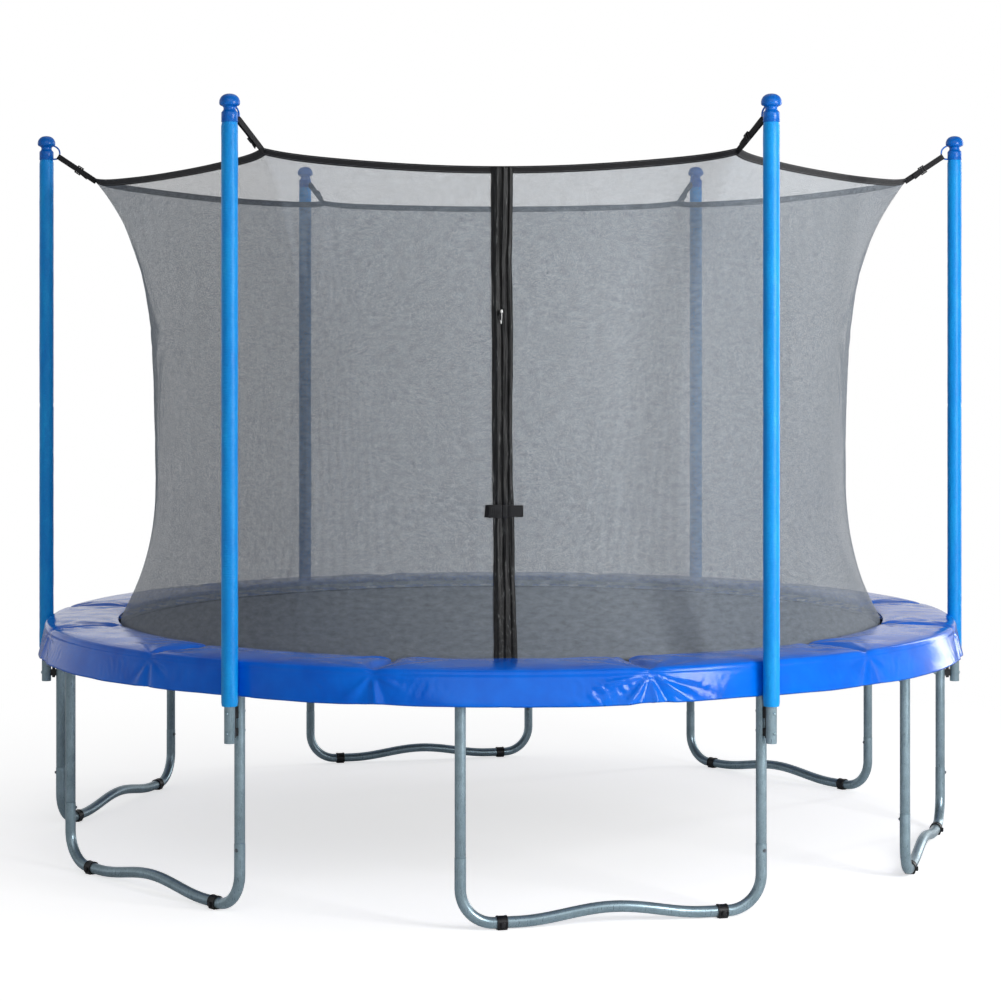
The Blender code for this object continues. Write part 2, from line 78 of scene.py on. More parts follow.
MAT_R, _, MAT_TOP_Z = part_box("jumping_mat")[1]
PAD_LOW, PAD_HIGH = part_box("safety_pad")
PAD_IN_R = 1.550
PAD_EDGE_R = 1.8365
PAD_FLARE = 0.045
PAD_TOP_Z = PAD_HIGH[2]
SKIRT_LOW_Z = PAD_LOW[2]
PAD_UNDER_Z = 0.8750
SLEEVE_LOW, SLEEVE_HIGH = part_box("foam_sleeve_1")
CAP_LOW, CAP_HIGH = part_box("pole_cap_1")

NET_LENGTH = 10.3                   # round the net's widest part
NET_COLUMNS = 720
NET_LOW_R = 1.5445
NET_WAIST_Z = 1.62
NET_WAIST_CORNER_R = 1.414
NET_MID_LOW_Z = 1.36
NET_MID_LOW_R = 1.385
NET_TOP_CORNER_R = 1.668
NET_TOP_MID_R = 1.445
NET_TOP_Z = 2.676
NET_SAG = 0.017
NET_FRONT_SAG = 0.053
NET_PEAK = 0.012                    # how far a corner's strap lifts the hem right beside it
NET_LOW_Z = MAT_TOP_Z + 0.0012
BUCKLE_Z = 1.392
BUCKLE_JOINT_X = 0.006
SLIDER_Z = 2.085


# Geometry tools -----------------------------------------------------------------------------------
def polar(radius, angle, z=0.0):
    """A point given by its radius and its angle round Z in degrees."""
    turn = math.radians(angle)
    return Vector((radius * math.cos(turn), radius * math.sin(turn), z))


def axes(angle):
    """The directions outward and sideways at an angle round Z."""
    outward = polar(1.0, angle)
    return outward, Vector((-outward.y, outward.x, 0))


def basis(x, y, z=UP):
    """The turn that takes the axes to three directions."""
    return Matrix((x, y, z)).transposed()


def off_pole(angle):
    """0 at a pole's angle and 1 halfway between two poles."""
    return 1 - abs((angle % PITCH) / PITCH - 0.5) * 2


def clamp(value, low=0.0, high=1.0):
    return max(low, min(high, value))


def ease(value):
    """0 to 1 with a smooth start and end."""
    value = clamp(value)
    return value * value * (3 - 2 * value)


def wobble(*place):
    """Smooth noise from -1 to 1, the same in every run."""
    return noise.noise(Vector(place if len(place) == 3 else (*place, 0.0)))


def link(name, data):
    """Puts an object with the given data into the scene."""
    made = bpy.data.objects.new(name, data)
    bpy.context.scene.collection.objects.link(made)
    return made


def make_object(name, verts, faces, uvs=None, smooth=True):
    """A mesh object from points and faces, with a UV for each point in metres where given."""
    mesh = bpy.data.meshes.new(name)
    mesh.from_pydata([tuple(v) for v in verts], [], faces)
    if uvs is not None:
        layer = mesh.uv_layers.new(name="UVMap")
        for loop in mesh.loops:
            layer.data[loop.index].uv = uvs[loop.vertex_index]
    mesh.update()
    if smooth:
        mesh.shade_smooth()
    return link(name, mesh)


def grid(name, columns, rows, point, wrap=False, flip=False, uv=None, closed=False, capped=False):
    """A sheet of quads where point(i, j) gives each place.

    wrap joins the last column to the first, closed joins the last row to the first, capped fills the
    first and last row, and flip turns the faces over.
    """
    across = columns if wrap else columns + 1
    places = [(i, j) for j in range(rows if closed else rows + 1) for i in range(across)]
    verts = [point(i, j) for i, j in places]
    uvs = None if uv is None else [uv(i, j) for i, j in places]
    count = len(verts)
    faces = []
    for j in range(rows):
        for i in range(columns):
            a, b = j * across + i, j * across + (i + 1) % across
            faces.append((a, b, (b + across) % count, (a + across) % count))
    if capped:
        faces += [tuple(reversed(range(across))), tuple(range(count - across, count))]
    if flip:
        faces = [(face[0], *reversed(face[1:])) for face in faces]
    return make_object(name, verts, faces, uvs)


def frames_along(points, closed=False):
    """A tangent, normal and binormal at each point, carried along without twist."""
    count = len(points)
    tangents = []
    for i in range(count):
        before = points[i - 1] if i > 0 or closed else points[i]
        after = points[(i + 1) % count] if i < count - 1 or closed else points[i]
        tangents.append((after - before).normalized())
    first = tangents[0]
    side = Vector((0, 0, 1)) if abs(first.z) < 0.9 else Vector((1, 0, 0))
    normal = (side - first * side.dot(first)).normalized()
    made = []
    for tangent in tangents:
        normal = (normal - tangent * normal.dot(tangent)).normalized()
        made.append((tangent, normal, tangent.cross(normal)))
    return made


def runs_along(points):
    """The length of a line up to each of its points."""
    made = [0.0]
    for before, after in zip(points, points[1:]):
        made.append(made[-1] + math.dist(before, after))
    return made


def tube(name, points, radius, sides=20, radii=None, capped=True, closed=False):
    """A round bar along a line of points, with a radius for each point where given."""
    points = [Vector(p) for p in points]
    frames, runs = frames_along(points, closed), runs_along(points)

    def point(s, k):
        size = radius if radii is None else radii[k]
        turn = 2 * math.pi * s / sides
        _, normal, binormal = frames[k]
        return points[k] + normal * size * math.cos(turn) + binormal * size * math.sin(turn)

    made = grid(name, sides, len(points) if closed else len(points) - 1, point, wrap=True, closed=closed,
                capped=capped and not closed, uv=lambda s, k: (radius * 2 * math.pi * s / sides, runs[k]))
    return sharpen(made)


def sharpen(thing, angle=40):
    """Smooth shading with sharp edges over the angle."""
    thing.data.set_sharp_from_angle(angle=math.radians(angle))
    return thing


def lathe(name, outline, steps=48, centre=(0, 0, 0)):
    """A turned shape from an outline of (radius, height), first and last point on the axis or joined."""
    runs = runs_along(outline)
    made = grid(name, steps, len(outline) - 1, wrap=True,
                point=lambda i, j: Vector(centre) + polar(outline[j][0], 360 * i / steps, outline[j][1]),
                uv=lambda i, j: (0.03 * 2 * math.pi * i / steps, runs[j]))
    return sharpen(weld(made), 50)


@contextlib.contextmanager
def edited(thing):
    """The object's mesh as a bmesh, written back when the block ends."""
    shape = bmesh.new()
    shape.from_mesh(thing.data)
    yield shape
    shape.to_mesh(thing.data)
    shape.free()


def weld(thing, distance=0.00001):
    """Merges points that coincide and drops faces that collapse, then turns the faces outward."""
    with edited(thing) as shape:
        bmesh.ops.remove_doubles(shape, verts=shape.verts, dist=distance)
        bmesh.ops.dissolve_degenerate(shape, edges=shape.edges, dist=distance)
        bmesh.ops.recalc_face_normals(shape, faces=shape.faces)
    return thing


def thicken(thing, thickness, offset):
    """Gives a sheet its thickness, to both sides with offset 0 or inward with -1."""
    step = thing.modifiers.new("cloth", "SOLIDIFY")
    step.thickness, step.offset = thickness, offset
    bpy.context.view_layer.update()
    mesh = bpy.data.meshes.new_from_object(thing.evaluated_get(bpy.context.evaluated_depsgraph_get()))
    thing.modifiers.clear()
    thing.data = mesh
    return thing


def rounded_box(name, size, centre, turn=None, radius=0.002, segments=3):
    """A box with rounded edges, turned by a matrix where given."""
    shape = bmesh.new()
    bmesh.ops.create_cube(shape, size=1.0)
    bmesh.ops.scale(shape, vec=Vector(size), verts=shape.verts)
    bmesh.ops.bevel(shape, geom=shape.edges[:], offset=radius, segments=segments, profile=0.5,
                    affect="EDGES")
    matrix = Matrix.Translation(Vector(centre)) @ (turn.to_4x4() if turn is not None else Matrix())
    bmesh.ops.transform(shape, matrix=matrix, verts=shape.verts)
    mesh = bpy.data.meshes.new(name)
    shape.to_mesh(mesh)
    shape.free()
    mesh.shade_smooth()
    return sharpen(link(name, mesh), 50)


def ribbon(name, path, across, width, thickness, steps=6):
    """Flat webbing: a line of points, the direction across it and its width and thickness."""
    path, across = [Vector(p) for p in path], Vector(across).normalized()
    profile = [(-width / 2 + width * s / steps, thickness / 2) for s in range(steps + 1)]
    profile += [(-x, -thickness / 2) for x, _ in profile]
    runs, last = runs_along(path), len(path) - 1

    def point(s, k):
        tangent = path[min(k + 1, last)] - path[max(k - 1, 0)]
        up = across.cross(tangent).normalized()
        return path[k] + across * profile[s][0] + up * profile[s][1]

    made = grid(name, len(profile), last, point, wrap=True, flip=True, capped=True,
                uv=lambda s, k: (profile[s][0] + width / 2, runs[k]))
    return sharpen(made, 50)


def smooth_path(points, steps=8, closed=False):
    """A smooth line through given points, by Catmull-Rom."""
    points = [Vector(p) for p in points]
    count = len(points)
    made = []
    for i in range(count if closed else count - 1):
        p1, p2 = points[i], points[(i + 1) % count]
        p0 = points[i - 1] if i or closed else p1 * 2 - p2
        p3 = points[(i + 2) % count] if i < count - 2 or closed else p2 * 2 - p1
        for s in range(steps):
            t = s / steps
            made.append(0.5 * ((2 * p1) + (p2 - p0) * t + (2 * p0 - 5 * p1 + 4 * p2 - p3) * t ** 2
                               + (3 * p1 - p0 - 3 * p2 + p3) * t ** 3))
    return made if closed else made + [points[-1]]


def join(name, things):
    """Joins pieces of one body into one object."""
    bpy.ops.object.select_all(action="DESELECT")
    for thing in things:
        thing.select_set(True)
    bpy.context.view_layer.objects.active = things[0]
    if len(things) > 1:
        bpy.ops.object.join()
    made = bpy.context.view_layer.objects.active
    made.name = name
    made.data.name = name
    made.select_set(False)
    return made


def dress(thing, look, body="frame", replaces=(), blend=None):
    """Gives a piece its material and its body, or with a blend only bakes its place into its mesh, and hides
    the CAD nodes that it replaces.
    """
    thing.data.materials.clear()
    thing.data.materials.append(look)
    if blend is None:
        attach(thing, body)
    else:
        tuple(blend[0])
        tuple(blend[1])
        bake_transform(thing)
    if replaces:
        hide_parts(*replaces)
    return thing


# Materials ----------------------------------------------------------------------------------------
def srgb(red, green, blue):
    """A colour picked as 0 to 255 screen values, as the linear values that shaders take."""
    def linear(value):
        value /= 255
        return value / 12.92 if value <= 0.04045 else ((value + 0.055) / 1.055) ** 2.4
    return (linear(red), linear(green), linear(blue), 1.0)


class Nodes:
    """A node tree with small helpers for building it."""

    def __init__(self, tree):
        self.nodes, self.links = tree.nodes, tree.links

    def add(self, kind, inputs=None, **settings):
        made = self.nodes.new("ShaderNode" + kind)
        for key, value in settings.items():
            setattr(made, key, value)
        for socket, value in (inputs or {}).items():
            self.put(value, made.inputs[socket])
        return made

    def put(self, value, socket):
        if isinstance(value, bpy.types.NodeSocket):
            self.links.new(value, socket)
        else:
            socket.default_value = value

    def coords(self, kind="Object", scale=(1, 1, 1)):
        source = self.add("TexCoord").outputs[kind]
        return self.add("Mapping", {"Vector": source, "Scale": scale}).outputs[0]

    def noise(self, vector, scale, detail=3.0, roughness=0.5):
        return self.add("TexNoise", {"Vector": vector, "Scale": scale, "Detail": detail,
                                     "Roughness": roughness}).outputs["Fac"]

    def wave(self, vector, scale, distortion, direction):
        return self.add("TexWave", {"Vector": vector, "Scale": scale, "Distortion": distortion},
                        bands_direction=direction).outputs["Fac"]

    def ramp(self, value, *stops):
        """A colour ramp from (position, colour) stops."""
        made = self.add("ValToRGB", {"Fac": value})
        ramp = made.color_ramp
        while len(ramp.elements) < len(stops):
            ramp.elements.new(0.5)
        for element, (position, colour) in zip(ramp.elements, stops):
            element.position = position
            element.color = colour if len(colour) == 4 else (*colour, 1.0)
        return made.outputs["Color"]

    def mix(self, factor, first, second, **settings):
        """A blend of two colours."""
        return self.add("Mix", {"Factor": factor, 6: first, 7: second}, data_type="RGBA",
                        **settings).outputs[2]

    def math(self, operation, first, second=0.0, third=0.0):
        made = self.add("Math", operation=operation)
        for socket, value in zip(made.inputs, (first, second, third)):
            self.put(value, socket)
        return made.outputs[0]

    def span(self, value, low, high):
        """Maps a value of 0 to 1 to a range."""
        return self.add("MapRange", {"Value": value, "To Min": low, "To Max": high}).outputs[0]


class Look(Nodes):
    """A Principled material."""

    def __init__(self, name, roughness=0.5, metallic=0.0, **sockets):
        self.material = bpy.data.materials.new(name)
        self.material.use_nodes = True
        super().__init__(self.material.node_tree)
        self.shader = self.nodes["Principled BSDF"]
        for socket, value in {"Roughness": roughness, "Metallic": metallic, **sockets}.items():
            self.shader.inputs[socket.replace("_", " ")].default_value = value

    def colour(self, value):
        self.put(value, self.shader.inputs["Base Color"])

    def rough(self, value):
        self.put(value, self.shader.inputs["Roughness"])

    def bump(self, height, strength=0.3, distance=0.001, under=None):
        inputs = {"Height": height, "Strength": strength, "Distance": distance}
        if under is not None:
            inputs["Normal"] = under
        made = self.add("Bump", inputs).outputs[0]
        self.put(made, self.shader.inputs["Normal"])
        return made


def steel_look(name, dark, light, roughness, metallic=0.75):
    """Zinc coated steel: soft cloudy spangle, faint streaks and small scuffs."""
    look = Look(name, roughness, metallic)
    place = look.coords()
    cloud = look.noise(place, 22.0, 4.0, 0.6)
    spangle = look.add("TexVoronoi", {"Vector": place, "Scale": 160.0}).outputs["Distance"]
    mixed = look.math("MULTIPLY_ADD", spangle, 0.16, look.math("MULTIPLY", cloud, 0.85))
    look.colour(look.ramp(mixed, (0.25, dark), (0.75, light)))
    streak = look.noise(look.coords(scale=(90, 90, 6)), 3.0, 4.0, 0.6)
    look.rough(look.span(streak, roughness - 0.08, roughness + 0.14))
    look.bump(look.noise(place, 260.0, 2.0), 0.06, 0.0004)
    return look.material


def plastic_look(name, dark, light, roughness, grain=900.0, coat=0.0):
    """Moulded plastic: even colour with slight clouding, fine grain and soft scuffs."""
    look = Look(name, roughness, 0.0, Coat_Weight=coat, Coat_Roughness=0.15, Specular_IOR_Level=0.35)
    place = look.coords()
    look.colour(look.ramp(look.noise(place, 30.0, 4.0), (0.3, dark), (0.7, light)))
    look.rough(look.span(look.noise(place, 60.0, 5.0), roughness - 0.06, roughness + 0.12))
    look.bump(look.noise(place, grain, 2.0), 0.18, 0.0004)
    return look.material


def sleeve_look():
    """Slippery blue vinyl over foam, with a fine scrim, small wrinkles round the pole, and a colour grain of
    random tone with painted glints.
    """
    look = Look("sleeve_vinyl", 0.36, 0.0, Specular_IOR_Level=0.30)
    place = look.coords()
    clouds = look.noise(look.coords(scale=(1, 1, 0.25)), 26.0, 4.0, 0.55)
    # Fine colour grain over cloudy tone: the tone varies at random, and the lightest speckles of the ramp are
    # painted glints of light on the vinyl.
    grain = look.math("MULTIPLY_ADD", look.noise(place, 330.0, 2.0, 0.7), 0.6,
                      look.math("MULTIPLY", clouds, 0.4))
    look.colour(look.ramp(grain, (0.34, srgb(0, 128, 216)), (0.52, srgb(0, 148, 230)),
                          (0.68, srgb(24, 172, 242))))
    crease = look.noise(look.coords(scale=(1, 1, 2.6)), 42.0, 5.0, 0.62)
    look.rough(look.span(crease, 0.28, 0.50))
    scrim = look.noise(place, 520.0, 2.0)
    first = look.bump(scrim, 0.35, 0.0006)
    look.bump(crease, 0.6, 0.0024, under=first)
    return look.material


def pad_look():
    """Glossy blue PVC sheet over foam: scrim weave under the skin, fine drawn wrinkles."""
    look = Look("pad_vinyl", 0.2, 0.0, Specular_IOR_Level=0.26)
    place = look.coords()
    clouds = look.noise(place, 7.0, 4.0, 0.5)
    look.colour(look.ramp(clouds, (0.3, srgb(0, 92, 208)), (0.7, srgb(0, 112, 230))))
    scrim = look.math("ADD", look.wave(place, 240.0, 0.4, "X"), look.wave(place, 240.0, 0.4, "Y"))
    crease = look.noise(look.coords(scale=(1, 1, 1.6)), 34.0, 6.0, 0.62)
    look.rough(look.span(crease, 0.11, 0.20))
    first = look.bump(scrim, 0.08, 0.0002)
    look.bump(crease, 0.11, 0.0022, under=first)
    return look.material


def mat_look():
    """Woven polypropylene: a plain weave of flat black tapes with a slight sheen."""
    look = Look("mat_weave", 0.55, 0.0, Sheen_Weight=0.15, Sheen_Roughness=0.4)
    place = look.coords()
    tapes = look.math("MULTIPLY", look.wave(place, 110.0, 0.3, "X"), look.wave(place, 110.0, 0.3, "Y"))
    cloud = look.noise(place, 3.0, 5.0, 0.6)
    tone = look.math("MULTIPLY_ADD", tapes, 0.5, look.math("MULTIPLY", cloud, 0.6))
    look.colour(look.ramp(tone, (0.15, srgb(14, 14, 15)), (0.8, srgb(40, 41, 43))))
    look.rough(look.span(cloud, 0.45, 0.65))
    look.bump(tapes, 0.35, 0.0006)
    return look.material


def webbing_look():
    """Black woven webbing: a fine herringbone across the strap, from the strap's own UV in metres."""
    look = Look("webbing", 0.6, 0.0, Specular_IOR_Level=0.25)
    strap = look.coords("UV")
    weave = look.math("MULTIPLY_ADD", look.wave(strap, 160.0, 0.6, "Y"), 0.6,
                      look.math("MULTIPLY", look.wave(strap, 120.0, 0.4, "X"), 0.4))
    look.colour(look.ramp(weave, (0.1, srgb(12, 12, 13)), (0.9, srgb(38, 38, 41))))
    look.rough(look.span(look.noise(strap, 300.0, 3.0), 0.5, 0.72))
    look.bump(weave, 0.5, 0.0006)
    return look.material


def flap_look():
    """Thin black nylon of the zip's cover, crinkled along its length, with painted highlights on the crinkles
    and painted shade between them.
    """
    look = Look("flap_nylon", 0.5, 0.0, Specular_IOR_Level=0.4)
    place = look.coords(scale=(1, 1, 0.12))
    crinkle = look.noise(place, 95.0, 5.0, 0.65)
    # Colour follows the bump's crinkle noise: the light top stop is a painted highlight on each ridge, the dark
    # stop painted shade in each hollow.
    look.colour(look.ramp(crinkle, (0.42, srgb(10, 10, 11)),
                          (0.60, srgb(34, 35, 36)), (0.74, srgb(112, 113, 112))))
    look.rough(look.span(crinkle, 0.4, 0.65))
    look.bump(crinkle, 0.8, 0.003)
    return look.material


NET_CELL = 0.0027
NET_THREAD = 0.390                  # share of a cell that each set of threads covers


def net_look():
    """Knitted black polyethylene mesh: two sets of slanted threads with open holes between them."""
    look = Look("net_mesh", 0.55, 0.0)
    split = look.add("SeparateXYZ", {"Vector": look.coords("UV")})
    wander = look.noise(look.coords("UV"), 70.0, 2.0, 0.6)
    across = look.math("MULTIPLY_ADD", wander, 0.010, split.outputs["X"])
    drift = look.noise(look.coords("UV"), 55.0, 2.0, 0.6)
    up = look.math("MULTIPLY_ADD", drift, 0.012, split.outputs["Y"])
    lean = look.math("MULTIPLY", up, 0.62)
    threads = []
    for operation in ("ADD", "SUBTRACT"):
        run = look.math("DIVIDE", look.math(operation, across, lean), NET_CELL)
        part = look.math("FRACT", run)
        threads.append(look.math("LESS_THAN", part, NET_THREAD))
    look.put(look.math("MAXIMUM", *threads), look.shader.inputs["Alpha"])
    # The threads' grey, far lighter than black polyethylene, is painted light standing in for the white
    # backdrop showing round the thin threads; the noise only varies the tone at random.
    tone = look.noise(look.coords("UV", (1, 2.5, 1)), 24.0, 6.0, 0.7)
    look.colour(look.ramp(tone, (0.30, srgb(98, 106, 115)), (0.70, srgb(142, 152, 161))))
    look.rough(look.span(tone, 0.5, 0.7))
    return look.material


def floor_look():
    """A pale matt studio floor that brightens into the backdrop away from the object."""
    look = Look("studio_floor", 0.9, 0.0, Specular_IOR_Level=0.0)
    pale = look.ramp(look.noise(look.coords(), 1.5, 3.0), (0.3, (0.84, 0.84, 0.84, 1)),
                     (0.7, (0.86, 0.86, 0.86, 1)))
    away = look.add("VectorMath", {0: look.coords()}, operation="LENGTH").outputs["Value"]
    far = look.add("MapRange", {"Value": away, "From Min": 1.4, "From Max": 4.4},
                   interpolation_type="SMOOTHSTEP").outputs[0]
    seen = look.add("LightPath").outputs["Is Camera Ray"]
    look.colour(look.mix(look.math("MULTIPLY", far, seen), pale, (0.0, 0.0, 0.0, 1.0)))
    look.shader.inputs["Emission Color"].default_value = (1.0, 1.0, 1.0, 1.0)
    look.put(look.math("MULTIPLY", look.span(far, 0.60, 1.0), seen), look.shader.inputs["Emission Strength"])
    return look.material


# Frame --------------------------------------------------------------------------------------------
def base_line(index):
    """Centre line of a leg's W-shaped base, and where its two foot clips sit."""
    near, far = polar(RING_R, index * PITCH), polar(RING_R, index * PITCH - LEG_SPREAD)
    chord = (far - near).length
    along = (far - near).normalized()
    half = [(0.0, BASE_TOP_Z), (0.0, BASE_TOP_Z - 0.04)]
    bend_steps, rise_steps = 14, 12
    for i in range(bend_steps + 1):
        turn = math.radians(90 * i / bend_steps)
        half.append((BASE_BEND_R * (1 - math.cos(turn)), BASE_Z + BASE_BEND_R * (1 - math.sin(turn))))
    for i in range(rise_steps):
        part = i / rise_steps
        half.append((BASE_FLAT_END + (chord / 2 - BASE_FLAT_END) * part,
                     BASE_Z + BASE_RISE * (1 - math.cos(math.pi * part)) / 2))
    outline = half + [(chord / 2, BASE_Z + BASE_RISE)] + [(chord - x, z) for x, z in reversed(half)]
    line = [near + along * x + UP * z for x, z in outline]
    clips = [near + along * FOOT_ALONG, far - along * FOOT_ALONG]
    return line, clips, along


def legs(steel, screw_steel, black):
    """Bases, uprights, foot clips and the small screws at their joints."""
    post_shape = ((BASE_TOP_Z - 0.002, SWAGE_R), (BASE_TOP_Z, SWAGE_R), (BASE_TOP_Z + 0.003, TUBE_R),
                  (0.55, TUBE_R), (0.826, TUBE_R))
    for index in range(LEG_COUNT):
        line, clips, along = base_line(index)
        base = tube(f"leg_base_tube_{index + 1}", line, BASE_R, sides=24)
        dress(base, steel, replaces=[f"leg_base_{index + 1}"])
        for side, clip in enumerate(clips):
            number = index * 2 + side + 1
            foot = foot_clip(f"foot_clip_{number:02d}", clip, along)
            dress(foot, black, replaces=[f"foot_{number:02d}"])
            angle = index * PITCH - LEG_SPREAD * side
            post = tube(f"leg_post_{number:02d}", [polar(RING_R, angle, z) for z, _ in post_shape], TUBE_R,
                        sides=24, radii=[radius for _, radius in post_shape])
            dress(post, steel, replaces=[f"leg_upright_{number:02d}"])
            screws = [screw(f"screw_{number}_{z}", angle, z, radius, -1 if side else 1)
                      for z, radius in ((BASE_TOP_Z - 0.022, BASE_R), (0.742, TUBE_R))]
            dress(join(f"leg_screws_{number:02d}", screws), screw_steel)


def stud(name, angle, z, start, depths, radius, sides, radii=None):
    """A round or hexagonal part that points along the ring's radius, at depths from a start radius."""
    return tube(name, [polar(start + depth, angle, z) for depth in depths], radius, sides, radii)


def screw(name, angle, z, radius, way):
    """A self-tapping screw with a flanged hexagon head on a tube's outer (1) or inner (-1) side."""
    start = RING_R + way * (radius - 0.0008)
    return join(name, [stud(name + "_flange", angle, z, start, (0, way * 0.0022), 0.0068, 16),
                       stud(name + "_head", angle, z, start, (0, way * 0.0058), 0.0048, 6)])


def foot_clip(name, spot, along):
    """A moulded band round the base with a flattened sole, a raised rim at each end and a clip boss."""
    across = UP.cross(along)
    sides, half = 40, 0.0185
    stations = [(-half, 0.0004), (-half, 0.0034), (-half + 0.0012, 0.0046), (-half + 0.006, 0.0046),
                (-half + 0.0072, 0.0034), (half - 0.0072, 0.0034), (half - 0.006, 0.0046),
                (half - 0.0012, 0.0046), (half, 0.0034), (half, 0.0004)]

    def point(s, k):
        distance, proud = stations[k]
        turn, radius = 2 * math.pi * s / sides, BASE_R + proud
        x, z = radius * math.sin(turn), radius * math.cos(turn)
        if z < 0 and proud > 0.001:
            x *= 1 + 0.10 * ease((-z / radius - 0.25) / 0.6)
            z = max(z, -BASE_Z + 0.0003)
        return spot + along * distance + across * x + UP * (BASE_Z + z)

    band = grid(name, sides, len(stations) - 1, point, wrap=True,
                uv=lambda s, k: (2 * math.pi * s / sides * (BASE_R + stations[k][1]), stations[k][0]))
    turn = basis(along, across)
    boss = rounded_box(name + "_boss", (0.014, 0.009, 0.016),
                       spot + across * (BASE_R + 0.006) + UP * (BASE_Z - 0.004), turn, 0.0018)
    sole = rounded_box(name + "_sole", (0.034, 0.036, 0.006), spot + UP * 0.0034, turn, 0.0018)
    return join(name, [sharpen(band, 35), boss, sole])


def ring(steel):
    """The six rails with their sockets and the weld beads between them."""
    rail_steps, bead_steps = 32, 40
    socket_shape = ((0.765, 0.0196), (0.7655, SOCKET_R), (0.80, SOCKET_R), (RING_Z - 0.010, SOCKET_R))
    for index in range(LEG_COUNT):
        first = index * PITCH - LEG_SPREAD / 2
        points = [polar(RING_R, first + PITCH * i / rail_steps, RING_Z) for i in range(rail_steps + 1)]
        points[0] += (points[1] - points[0]).normalized() * 0.0018
        rail = [tube(f"rail_{index}", points, TUBE_R, sides=24)]
        for number, angle in enumerate((index * PITCH, (index + 1) * PITCH - LEG_SPREAD)):
            rail.append(tube(f"socket_{index}_{number}", [polar(RING_R, angle, z) for z, _ in socket_shape],
                             SOCKET_R, sides=24, radii=[radius for _, radius in socket_shape], capped=False))
            outward, sideways = axes(angle)
            bead = []
            for s in range(bead_steps):
                turn = 2 * math.pi * s / bead_steps
                lean, side = 0.0222 * math.cos(turn), 0.0222 * math.sin(turn)
                drop = math.sqrt(max(TUBE_R ** 2 - lean ** 2, 0.0))
                bead.append(polar(RING_R, angle, RING_Z - drop) + outward * lean + sideways * side)
            rail.append(tube(f"weld_{index}_{number}", bead, 0.0022, sides=6, closed=True))
        dress(join(f"ring_rail_tube_{index + 1}", rail), steel,
              replaces=[f"ring_rail_{index + 1}"])


# Enclosure poles ----------------------------------------------------------------------------------
def poles(steel, black):
    """The steel poles with their spacer brackets, bolts and nuts."""
    shaft_shape = ((POLE_LOW_Z, TUBE_R - 0.0005), (POLE_LOW_Z + 0.001, TUBE_R), (1.2, TUBE_R), (2.77, TUBE_R))
    bore_shape = ((0.0, 0.0004), (0.001, 0.0020), (0.03, 0.0022))      # depth up the mouth, and inset
    outer, inner = POLE_R + TUBE_R, RING_R - TUBE_R
    for index in range(LEG_COUNT):
        angle = index * PITCH
        shaft = tube(f"pole_tube_{index + 1}", [polar(POLE_R, angle, z) for z, _ in shaft_shape], TUBE_R,
                     sides=28, radii=[radius for _, radius in shaft_shape], capped=False)
        mouth = tube(f"pole_mouth_{index}",
                     [polar(POLE_R, angle, POLE_LOW_Z + depth) for depth, _ in bore_shape],
                     TUBE_R - 0.0004, radii=[TUBE_R - inset for _, inset in bore_shape], capped=False)
        plug = tube(f"pole_plug_{index}", [polar(POLE_R, angle, POLE_LOW_Z + up) for up in (0.012, 0.02)],
                    TUBE_R - 0.0016, sides=24)
        dress(join(f"pole_tube_{index + 1}", [shaft, mouth, plug]), steel,
              replaces=[f"pole_{index + 1}"])
        spacer = [saddle(f"saddle_{index}_{z}", angle, z, height)
                  for z, height in zip(BOLT_HEIGHTS, (0.026, 0.040))]
        spacer.append(rounded_box(f"saddle_web_{index}", (0.0125, 0.006, 0.100),
                                  polar((RING_R + POLE_R) / 2, angle, 0.669), basis(*axes(angle)), 0.002))
        dress(join(f"pole_spacer_{index + 1}", spacer), black)
        bolts = []
        for z in BOLT_HEIGHTS:
            name = f"_{index}_{z}"
            bolts += [stud("bolt_head" + name, angle, z, outer, (-0.004, 0.0004, 0.0018, 0.0030, 0.0036),
                           0.0062, 20, [0.0060, 0.0062, 0.0056, 0.0036, 0.001]),
                      stud("bolt_nut" + name, angle, z, inner, (0.002, -0.0062), 0.0075, 6),
                      stud("bolt_end" + name, angle, z, inner, (0.0, -0.0105), 0.0038, 16),
                      stud("bolt_washer" + name, angle, z, inner, (0.003, -0.0008), 0.0098, 24)]
        dress(join(f"pole_bolts_{index + 1}", bolts), steel)


def saddle(name, angle, z, height):
    """A block hollowed on both sides to sit between a pole and an upright."""
    steps, half = 10, 0.0078
    sides = [-half + 2 * half * i / steps for i in range(steps + 1)]
    outline = [(RING_R + math.sqrt((TUBE_R + 0.0004) ** 2 - side ** 2), side) for side in sides]
    outline += [(POLE_R - math.sqrt((TUBE_R + 0.0004) ** 2 - side ** 2), side) for side in reversed(sides)]
    outward, sideways = axes(angle)
    made = grid(name, len(outline), 1, wrap=True, capped=True,
                point=lambda i, j: outward * outline[i][0] + sideways * outline[i][1]
                + UP * (z + height * (j - 0.5)))
    return sharpen(weld(made), 30)


